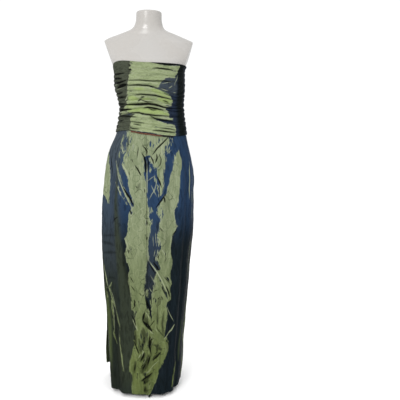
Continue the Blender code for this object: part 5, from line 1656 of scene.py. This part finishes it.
class GOWN_OT_skirt(Operator):
    """Make the three panels of the skirt"""
    bl_idname = "gown.skirt"
    bl_label = "Skirt"

    def execute(self, context):
        material = shot_taffeta("shot_taffeta", colours_of(context.scene), SKIRT_TAFFETA)
        right = straight(SKIRT_SEAM_RIGHT)
        front = straight(SKIRT_SEAM_FRONT)
        left = straight(SKIRT_SEAM_LEFT)
        # The node, its two edges, its columns and rows, its hem and swing, and its cut.
        panels = (
            ("skirt_front_right", (right, front), 124, 370, nothing, nothing, (0.40, 1.10), 0.30),
            ("skirt_front_left", (front, left), 98, 370, corner_drop, nothing, (0.30, 1.11), 0.24),
            ("skirt_back", (left, slit_edge_angle), 160, 262, nothing, slit_kick, (0.72, 1.09),
             0.60),
        )
        for node, edges, columns, rows, drop, kick, flat, area in panels:
            mesh = skirt_panel(node + "_cloth", edges, columns, rows, drop, kick)
            piece = add_piece(node + "_cloth", mesh, material, "shot_taffeta", node)
            add_wall(piece, context.scene.gown_sizes.skirt_wall)
        return {"FINISHED"}


class GOWN_OT_bodice(Operator):
    """Make the four ruched panels of the bodice and the edge under it"""
    bl_idname = "gown.bodice"
    bl_label = "Bodice"

    def execute(self, context):
        colours = colours_of(context.scene, green_high="bodice_green", green_low="bodice_green",
                             navy_high="bodice_navy", navy_low="bodice_painted_shade",
                             olive="bodice_olive")
        material = shot_taffeta("gathered_shot_taffeta", colours, BODICE_TAFFETA)
        fullness = context.scene.gown_sizes.puff
        strip = self.add_edge(context)
        # The node, its two seams, the whole turn between them, its columns, and its cut.
        panels = (
            ("bodice_front", "front_right", "front_left", 0, 130, (0.22, 0.38), 0.062),
            ("bodice_side_left", "front_left", "back_left", 0, 150, (0.24, 0.36), 0.070),
            ("bodice_back", "back_left", "back_right", 0, 130, (0.20, 0.34), 0.055),
            ("bodice_side_right", "back_right", "front_right", 360, 150, (0.24, 0.36), 0.065),
        )
        for node, first, last, last_turn, columns, flat, area in panels:
            mesh = bodice_panel(node + "_cloth", first, last, last_turn, columns, fullness)
            piece = add_piece(node + "_cloth", mesh, material, "ruched_taffeta", node)
            add_wall(piece, context.scene.gown_sizes.bodice_wall)
        return {"FINISHED"}

    def add_edge(self, context):
        """The narrow turned edge: its height varies a little along the hem."""
        angle = np.linspace(STRIP_START, STRIP_END, STRIP_COLUMNS + 1)[None, :]
        up = np.linspace(0.0, 1.0, STRIP_ROWS + 1)[:, None]
        top = crease_value(BODICE_CREASES[-1].heights, angle) - STRIP_GAP
        drop = STRIP_HEIGHT * (0.92 + 0.08 * random_field(angle / 3, 0 * angle, 31))
        height = top - drop * (1 - up)
        points, normals = section_surface(FORM_SECTIONS, angle, height)
        middle = bodice_inside(top) + BODICE_WALL / 2 + STRIP_CROWN * np.sin(np.pi * up)
        points = points + normals * middle[..., None]
        # Painted shade: the edge is painted darker between two angles.
        fade = smooth_step(*STRIP_DARKENS, angle) + 0 * up
        mesh = mesh_of("turned_edge", points, grid_quads(*height.shape), {"fade": fade})
        strip = add_piece("turned_edge", mesh, edging_cloth(colours_of(context.scene)),
                          "edge_strip", "bodice_edge_strip")
        add_wall(strip, STRIP_WALL)
        return strip


class GOWN_OT_form(Operator):
    """Make the smooth torso of the dress form and finish its stand"""
    bl_idname = "gown.form"
    bl_label = "Dress form"

    def execute(self, context):
        colours = colours_of(context.scene)
        torso = add_piece("form_torso_shell", torso_mesh("form_torso_shell"),
                          moulded_gloss(colours), "moulded_form", "form_torso")
        cutters = [arm_cutter(cut) for cut in ARM_CUTS]
        for cutter in cutters:
            modifier = torso.modifiers.new("arm_cut", "BOOLEAN")
            modifier.operation = "DIFFERENCE"
            modifier.solver = "EXACT"
            modifier.object = cutter
        bevel = torso.modifiers.new("rounded_cut", "BEVEL")
        bevel.width = CUT_ROUNDING
        bevel.segments = 3
        bevel.limit_method = "ANGLE"
        bevel.angle_limit = math.radians(CUT_EDGE_ANGLE)
        graph = context.evaluated_depsgraph_get()
        cut_mesh = bpy.data.meshes.new_from_object(torso.evaluated_get(graph))
        torso.modifiers.clear()
        torso.data = cut_mesh
        cut_mesh.name = "form_torso_shell"
        cut_mesh.shade_smooth()
        cut_mesh.set_sharp_from_angle(angle=math.radians(SHARP_ANGLE))
        for cutter in cutters:
            bpy.data.objects.remove(cutter, do_unlink=True)
        enamel = enamelled_steel(colours)
        for node in ("form_pole", "form_base"):
            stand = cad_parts[node]
            if not stand.material_slots:
                stand.data.materials.append(enamel)
            for slot in stand.material_slots:
                slot.material = enamel
        return {"FINISHED"}


class GOWN_OT_studio(Operator):
    """Make the floor, the lights and the camera"""
    bl_idname = "gown.studio"
    bl_label = "Studio"

    def execute(self, context):
        scene = context.scene
        scene.view_settings.view_transform = "Standard"
        scene.view_settings.look = "None"
        mesh = bpy.data.meshes.new("studio_floor")
        corners = [(x * FLOOR_REACH, y * FLOOR_REACH, -FLOOR_DROP)
                   for x, y in ((-1, -1), (1, -1), (1, 1), (-1, 1))]
        mesh.from_pydata(corners, [], [(0, 1, 2, 3)])
        floor = bpy.data.objects.new("studio_floor", mesh)
        scene.collection.objects.link(floor)
        mesh.materials.append(studio_floor(colours_of(scene)))
        self.add_world(scene)
        for light in LIGHTS:
            self.add_light(scene, *light)
        camera_data = bpy.data.cameras.new("camera")
        camera_data.lens = scene.gown_sizes.camera_lens
        camera_data.sensor_width = SENSOR_WIDTH
        camera = bpy.data.objects.new("camera", camera_data)
        camera.location = CAMERA_PLACE
        camera.rotation_euler = (math.radians(90.0) - CAMERA_TILT, 0.0, 0.0)
        scene.collection.objects.link(camera)
        scene.camera = camera
        return {"FINISHED"}

    def add_world(self, scene):
        """White studio, a little brighter from above."""
        world = bpy.data.worlds.new("studio")
        scene.world = world
        world.use_nodes = True
        tree = world.node_tree
        ground = tree.nodes["Background"]
        way = add_node(tree, "ShaderNodeTexCoord").outputs["Generated"]
        slant = add_node(tree, "ShaderNodeVectorMath", {"operation": "DOT_PRODUCT"}, i0=way,
                         i1=SKY_SLANT).outputs["Value"]
        strength = add_node(tree, "ShaderNodeMath", TIMES_PLUS, i0=slant, i1=1.0,
                            i2=SKY_BASE).outputs[0]
        fill(tree, ground, Color=(1.0, 1.0, 1.0, 1.0), Strength=strength)

    def add_light(self, scene, name, place, target, size, power):
        """A square soft light that faces a point."""
        data = bpy.data.lights.new(name, "AREA")
        data.energy = power
        data.size = size
        light = bpy.data.objects.new(name, data)
        scene.collection.objects.link(light)
        light.location = place
        way = np.array(target) - np.array(place)
        flat = math.hypot(way[0], way[1])
        light.rotation_euler = (math.atan2(flat, -way[2]), 0.0,
                                math.atan2(way[1], way[0]) - math.pi / 2)


class GOWN_PT_panel(Panel):
    """Buttons and settings of the gown"""
    bl_idname = "GOWN_PT_panel"
    bl_label = "Evening gown"
    bl_space_type = "VIEW_3D"
    bl_region_type = "UI"
    bl_category = "Gown"

    def draw(self, context):
        column = self.layout.column()
        for operator in (GOWN_OT_form, GOWN_OT_skirt, GOWN_OT_bodice, GOWN_OT_studio):
            column.operator(operator.bl_idname)
        for group in (context.scene.gown_sizes, context.scene.gown_colours):
            box = column.box()
            for name in type(group).__annotations__:
                box.prop(group, name)


CLASSES = (GownSizes, GownColours, GOWN_OT_form, GOWN_OT_skirt, GOWN_OT_bodice, GOWN_OT_studio,
           GOWN_PT_panel)


def register():
    """Register the classes and hang the settings on the scene."""
    for item in CLASSES:
        bpy.utils.register_class(item)
    bpy.types.Scene.gown_sizes = PointerProperty(type=GownSizes)
    bpy.types.Scene.gown_colours = PointerProperty(type=GownColours)


def unregister():
    """Take the settings and the classes away again."""
    del bpy.types.Scene.gown_colours
    del bpy.types.Scene.gown_sizes
    for item in reversed(CLASSES):
        bpy.utils.unregister_class(item)


def main():
    """Build everything in order."""
    register()
    bpy.ops.gown.form()
    bpy.ops.gown.skirt()
    bpy.ops.gown.bodice()
    bpy.ops.gown.studio()


if __name__ == "__main__":
    main()
